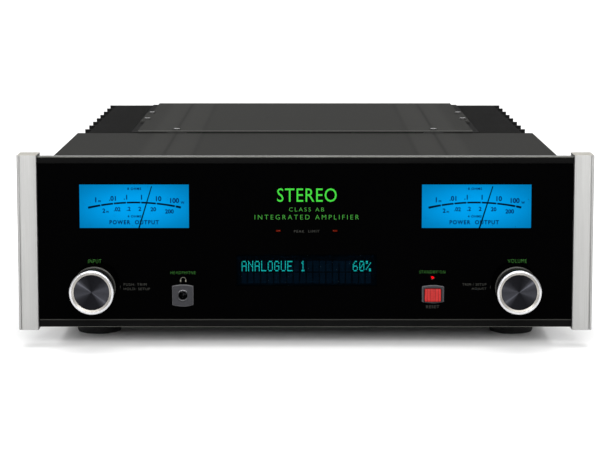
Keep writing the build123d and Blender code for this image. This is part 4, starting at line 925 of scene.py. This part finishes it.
# ------------------------------------------------------------------ case, covers, base
for nname, m in (("front_cover", case), ("rear_cover", case), ("side_panel_left", case), ("side_panel_right", case), ("bulkhead", panel),
                 ("base_plate", panel), ("rear_panel", panel), ("front_subpanel", zinc), ("meter_housings", plastic_white), ("meter_movements", plastic_black),
                 ("meter_light_boards", pcb), ("control_board", pcb), ("encoders", zinc), ("input_shaft", zinc), ("volume_shaft", zinc),
                 ("input_push_plunger", plastic_white), ("volume_push_plunger", plastic_white), ("power_transformer", wound), ("power_supply_board", pcb),
                 ("filter_capacitors", sleeve), ("output_transistors", plastic_black), ("driver_boards", pcb), ("preamp_board", pcb), ("digital_board", pcb),
                 ("wiring", wire_mat), ("chassis_screws", screw_mat), ("foot_screws", zinc), ("heatsink_left", sink_mat), ("heatsink_right", sink_mat), ("speaker_posts", gold),
                 ("mains_inlet", plastic_black)):
    paint(nname, m)

# painted shade: a dark strip between the front trim and the cover, over the edge of the subpanel, standing in for the
# shade in that gap
sp_lo, sp_hi = nb("front_subpanel")
fc_lo, fc_hi = nb("front_cover")
bm = bmesh.new()
y0, y1, zt = t_hi[1] + 0.02, fc_lo[1] - 0.02, sp_hi[2] + 0.55
prof = [(y0, sp_hi[2] + 0.01), (y0, zt - 0.1), (y0 + 0.2, zt), (y1 - 0.2, zt), (y1, zt - 0.12), (y1, sp_hi[2] + 0.01)]
add_prism(bm, prof, "x", -205.0, 205.0)
from_bm("front_cover_gap_shade_strip", bm, [gap_shade_mat], "chassis", angle=60)

# folded front edge of the rear cover, lighter than the cover as a painted highlight where the edge catches light
rc_lo, rc_hi = nb("rear_cover")
bm = bmesh.new()
y = STEP + 0.02
prof = [(y, rc_hi[2] - 0.75), (y, rc_hi[2] - 0.25), (y + 0.10, rc_hi[2] - 0.02), (y + 0.35, rc_hi[2] + 0.10), (y + 0.8, rc_hi[2] + 0.06), (y + 1.1, rc_hi[2] - 0.05), (y + 1.1, rc_hi[2] - 0.75)]
add_prism(bm, prof, "x", -143.9, 143.9)
from_bm("rear_cover_front_lip", bm, [case_lip_highlight], "chassis", angle=60)

# ------------------------------------------------------------------ feet
fl, fh = nb("feet")
FX, FY0, FY1 = (fh[0] - 19.5), fl[1] + 19.5, fh[1] - 19.5
bm = bmesh.new()
foot_prof = [(2.7, 8.0), (6.5, 8.0), (6.5, 0.4), (6.9, 0.0), (16.4, 0.0), (17.0, 0.25), (17.45, 0.9), (18.3, 6.0), (19.0, 10.0), (19.35, 12.2), (19.5, 13.2), (19.5, fh[2] - 0.4), (19.1, fh[2]), (2.7, fh[2])]
for fx, fy in ((-167.0, YF + 72.0), (167.0, YF + 72.0), (-120.0, YF + 415.0), (120.0, YF + 415.0)):
    add_lathe(bm, foot_prof, fx, fy, "z", 72)
from_bm("feet_turned", bm, [foot_mat], "chassis", ["feet"], angle=30)

# ------------------------------------------------------------------ rear sockets
P0 = YR
SOCKETS = [(-122.0 + 17.0 * k, z, n) for k in range(8) for z, n in ((127.0, "white"), (105.0, "red"))] + [(62.0, 116.0, "black"), (82.0, 116.0, "black")]
bm_shell = bmesh.new()
cores = {"white": bmesh.new(), "red": bmesh.new(), "black": bmesh.new()}
for sx, sz, colour in SOCKETS:
    hexa = [(sx + 5.8 * math.cos(math.radians(60 * k + 30)), sz + 5.8 * math.sin(math.radians(60 * k + 30))) for k in range(6)]
    add_prism(bm_shell, round_poly(hexa, 0.5, 3), "y", P0 + 0.02, P0 + 1.5)
    prof = [(4.0, P0 + 1.5), (4.0, P0 + 2.6), (4.15, P0 + 2.75), (4.15, P0 + 9.3), (3.95, P0 + 9.8), (3.7, P0 + 10.0), (3.45, P0 + 9.9), (3.35, P0 + 9.6), (3.35, P0 + 1.5)]
    add_lathe(bm_shell, prof, sx, sz, "y", 40)
    core = cores[colour]
    prof = [(3.34, P0 + 1.5), (3.34, P0 + 9.0), (2.2, P0 + 9.25), (1.85, P0 + 9.1), (1.62, P0 + 8.6), (1.62, P0 - 1.6), (1.2, P0 - 2.0), (0, P0 - 2.0), (0, P0 - 14.0), (4.2, P0 - 14.0), (4.2, P0 - 1.5), (3.34, P0 - 1.5)]
    add_lathe(core, prof, sx, sz, "y", 32)
from_bm("signal_socket_shells", bm_shell, [gold], "chassis", ["signal_sockets"], angle=30)
for colour, m, slot_name in (("white", insul_white, "moulded_white"), ("red", insul_red, "post_red"), ("black", plastic_black, "moulded_black")):
    from_bm(f"signal_socket_cores_{colour}", cores[colour], [m], "chassis", angle=30)

# speaker terminals: insulating base, plated stud, washer and fluted cap
bm_base, bm_stud = bmesh.new(), bmesh.new()
for px, tag, colour in ((-112.0, "left_negative", "black"), (-80.0, "left_positive", "red"), (-28.0, "right_negative", "black"), (4.0, "right_positive", "red")):
    prof = [(4.02, P0 + 6.0), (9.4, P0 + 6.0), (9.7, P0 + 5.9), (10.0, P0 + 5.5), (10.1, P0 + 4.0), (10.5, P0 + 3.4), (10.5, P0 + 0.6), (10.2, P0 + 0.05), (5.0, P0 + 0.05), (5.0, P0 - 6.0), (4.02, P0 - 6.0)]
    add_lathe(bm_base, prof, px, 50.0, "y", 64)
    prof = [(4.0, P0 - 17.0), (4.0, P0 + 33.2), (3.6, P0 + 34.0), (2.5, P0 + 34.1), (2.15, P0 + 33.9), (2.05, P0 + 33.4), (2.05, P0 + 14.1), (0, P0 + 14.1), (0, P0 - 17.0)]
    add_lathe(bm_stud, prof, px, 50.0, "y", 48)
    bm = bmesh.new()
    prof = [(4.06, P0 + 6.12), (7.7, P0 + 6.12), (8.0, P0 + 6.35), (8.0, P0 + 7.5), (7.7, P0 + 7.75), (4.06, P0 + 7.75)]
    add_lathe(bm, prof, px, 50.0, "y", 64)
    from_bm(f"post_washer_{tag}_ring", bm, [gold], f"post_slide_{tag}", [f"post_washer_{tag}"], angle=30)
    bm = bmesh.new()
    def rad(r, t, k):
        flute = max(0.0, math.cos(8 * t)) ** 1.5
        return r - (1.05 * flute if 4 <= k <= 9 else 0.0)
    y0, y1 = P0 + 7.92, P0 + 35.05
    prof = [(4.06, y0), (7.9, y0), (8.4, y0 + 0.25), (8.6, y0 + 0.9), (8.6, y0 + 3.6), (9.0, y0 + 4.2), (9.0, y0 + 8), (9.0, y0 + 16), (9.0, y1 - 3.0), (8.8, y1 - 1.6), (8.1, y1 - 0.5), (7.2, y1 - 0.05), (5.6, y1), (5.0, y1 - 0.5), (4.7, y1 - 1.4), (4.06, y1 - 1.6)]
    add_lathe(bm, prof, px, 50.0, "y", 160, radius=rad)
    ringm = [(5.4, y0 + 3.62), (8.66, y0 + 3.62)]
    from_bm(f"post_cap_{tag}_fluted", bm, [red_plastic if colour == "red" else plastic_black], f"post_turn_{tag}", [f"post_cap_{tag}"], angle=32)
from_bm("post_bases", bm_base, [plastic_black], "chassis", ["speaker_posts"], angle=30)
from_bm("post_studs", bm_stud, [gold], "chassis", angle=30)

# mains inlet: rounded flange with a six-sided recess and three flat pins
IX, IZ = 112.0, 46.0
six = [(-12.2, -8.2), (12.2, -8.2), (12.2, 3.6), (7.6, 8.2), (-7.6, 8.2), (-12.2, 3.6)]
six_r = round_poly(six, 0.7, 4)


def on_polygon(poly, cx, cz, a):
    """Where a ray from the centre at angle a meets a polygon given about that centre."""
    dx, dz = math.cos(a), math.sin(a)
    best = None
    for (ax, az), (bx, bz) in zip(poly, poly[1:] + poly[:1]):
        ex, ez = bx - ax, bz - az
        den = dx * ez - dz * ex
        if abs(den) < 1e-12:
            continue
        t = (ax * ez - az * ex) / den
        u = (ax * dz - az * dx) / den
        if t > 0 and -1e-6 <= u <= 1 + 1e-6 and (best is None or t > best):
            best = t
    return (cx + dx * best, cz + dz * best)


outer = round_poly([(IX - 24, IZ - 12), (IX + 24, IZ - 12), (IX + 24, IZ + 12), (IX - 24, IZ + 12)], 4.0, 10)
n_side = 160
angs = [2 * math.pi * k / n_side for k in range(n_side)]
outer_b = [on_polygon([(p[0] - IX, p[1] - IZ) for p in outer], IX, IZ, a) for a in angs]
inner_b = [on_polygon(six_r, IX, IZ, a) for a in angs]
body_b = [on_polygon([(-14, -10), (14, -10), (14, 10), (-14, 10)], IX, IZ, a) for a in angs]
bm = bmesh.new()
scale_in = lambda pts, f: [(IX + (p[0] - IX) * f, IZ + (p[1] - IZ) * f) for p in pts]
loops = [(outer_b, P0 + 0.02), (outer_b, P0 + 2.0), (scale_in(outer_b, 0.985), P0 + 2.42), (scale_in(outer_b, 0.965), P0 + 2.5), (scale_in(inner_b, 1.05), P0 + 2.5),
         (scale_in(inner_b, 1.012), P0 + 2.3), (inner_b, P0 + 1.8), (inner_b, P0 - 14.5)]
vs = [[bm.verts.new((p[0] * MM, y * MM, p[1] * MM)) for p in pts] for pts, y in loops]
for a, b in zip(vs, vs[1:]):
    for i in range(n_side):
        j = (i + 1) % n_side
        bm.faces.new((a[i], a[j], b[j], b[i]))
bm.faces.new(vs[-1])
back = [(body_b, P0 + 0.02), (body_b, P0 - 19.5)]
bs = [[bm.verts.new((p[0] * MM, y * MM, p[1] * MM)) for p in pts] for pts, y in back]
for i in range(n_side):
    j = (i + 1) % n_side
    bm.faces.new((vs[0][i], vs[0][j], bs[0][j], bs[0][i]))
    bm.faces.new((bs[0][i], bs[0][j], bs[1][j], bs[1][i]))
bm.faces.new(bs[1])
from_bm("mains_inlet_shroud", bm, [plastic_black], "chassis", ["mains_inlet"], angle=40)
bm = bmesh.new()
for bx, bz in ((-7.0, -3.0), (7.0, -3.0), (0.0, 1.0)):
    add_prism(bm, round_poly([(IX + bx - 1, IZ + bz - 2), (IX + bx + 1, IZ + bz - 2), (IX + bx + 1, IZ + bz + 2), (IX + bx - 1, IZ + bz + 2)], 0.3, 3), "y", P0 - 14.6, P0 - 2.0)
    add_box(bm, IX + bx - 2.4, IX + bx + 2.4, P0 - 27.5, P0 - 19.4, IZ + bz - 0.4, IZ + bz + 0.4)
from_bm("mains_inlet_pins", bm, [pin_mat], "chassis", bevel=0.3)

# printing on the rear panel
for k in range(8):
    text("rear", f"{k + 1}", -122.0 + 17.0 * k, 116.0, height=2.6, y=YR, back=True)
text("rear", "LEFT", -133.5, 135.0, height=2.2, y=YR, back=True, spacing=1.1)
text("rear", "LINE  INPUTS", -62.5, 140.0, height=3.0, y=YR, back=True, spacing=1.2)
text("rear", "RIGHT", -133.5, 96.8, height=2.2, y=YR, back=True, spacing=1.1)
text("rear", "DIGITAL", 72.0, 128.0, height=2.8, y=YR, back=True, spacing=1.2)
text("rear", "IN", 62.0, 106.2, height=2.2, y=YR, back=True, spacing=1.1)
text("rear", "OUT", 82.0, 106.2, height=2.2, y=YR, back=True, spacing=1.1)
text("rear", "LEFT  SPEAKER", -96.0, 70.0, height=3.0, y=YR, back=True, spacing=1.2)
text("rear", "RIGHT  SPEAKER", -12.0, 70.0, height=3.0, y=YR, back=True, spacing=1.2)
for px, word in ((-112.0, "\u2212"), (-80.0, "+"), (-28.0, "\u2212"), (4.0, "+")):
    text("rear", word, px, 32.5, width=3.4, y=YR, back=True)
text("rear", "AC  IN", 112.0, 64.0, height=3.0, y=YR, back=True, spacing=1.2)
flush_texts("rear", "legend_rear", white_ink, "chassis")

# ------------------------------------------------------------------ stage, light
bm = bmesh.new()
S = 9.0
v = [bm.verts.new(p) for p in ((-S, -S, 0), (S, -S, 0), (S, S, 0), (-S, S, 0))]
bm.faces.new(v)
me = bpy.data.meshes.new("floor"); bm.to_mesh(me); bm.free()
floor = bpy.data.objects.new("floor", me)
bpy.context.scene.collection.objects.link(floor)
me.materials.append(floor_mat)

world = bpy.data.worlds.new("world")
bpy.context.scene.world = world
world.use_nodes = True
wt = world.node_tree
bg = wt.nodes["Background"]
w_tc = wt.nodes.new("ShaderNodeTexCoord")
w_dot = wt.nodes.new("ShaderNodeVectorMath")
w_dot.operation = "DOT_PRODUCT"
w_dot.inputs[1].default_value = (0.0, -0.30, 0.35)
w_off = wt.nodes.new("ShaderNodeMath")
w_off.operation = "ADD"
w_off.inputs[1].default_value = 0.5
w_ramp = wt.nodes.new("ShaderNodeValToRGB")
wt.links.new(w_tc.outputs["Generated"], w_dot.inputs[0])
wt.links.new(w_dot.outputs["Value"], w_off.inputs[0])
wt.links.new(w_off.outputs[0], w_ramp.inputs["Fac"])
# horizon behind 0.2, horizon at the sides 0.5, horizon in front 0.8, straight up 0.85, front and up 0.96
fill_ramp(w_ramp, [(0.0, (1.1, 1.1, 1.1, 1)), (0.26, (1.1, 1.1, 1.1, 1)), (0.38, (0.20, 0.20, 0.20, 1)), (0.5, (0.18, 0.18, 0.18, 1)), (0.80, (0.62, 0.62, 0.62, 1)), (0.95, (0.95, 0.95, 0.95, 1))])
wt.links.new(w_ramp.outputs["Color"], bg.inputs["Color"])
bg.inputs["Strength"].default_value = 1.45


def area(name, loc, target, size, power, size_y=None, color=(1, 1, 1)):
    li = bpy.data.lights.new(name, "AREA")
    li.energy = power
    li.color = color
    li.shape = "RECTANGLE"
    li.size = size
    li.size_y = size_y or size
    ob = bpy.data.objects.new(name, li)
    bpy.context.scene.collection.objects.link(ob)
    ob.location = loc
    ob.rotation_euler = (Vector(target) - Vector(loc)).to_track_quat("-Z", "Y").to_euler()
    return ob


area("softbox_top", (0.0, 0.1, 2.4), (0, 0, 0.1), 1.8, 26, 1.4)
area("softbox_front", (0.0, -3.1, 1.35), (0, -0.2, 0.05), 2.8, 100, 1.2)
area("backdrop_wash", (0.0, 6.2, 2.6), (0, 6.6, 0.0), 7.0, 270, 3.6)

sc = bpy.context.scene
sc.view_settings.view_transform = "Standard"
sc.view_settings.look = "None"
sc.view_settings.exposure = 0.0
sc.view_settings.gamma = 1.0
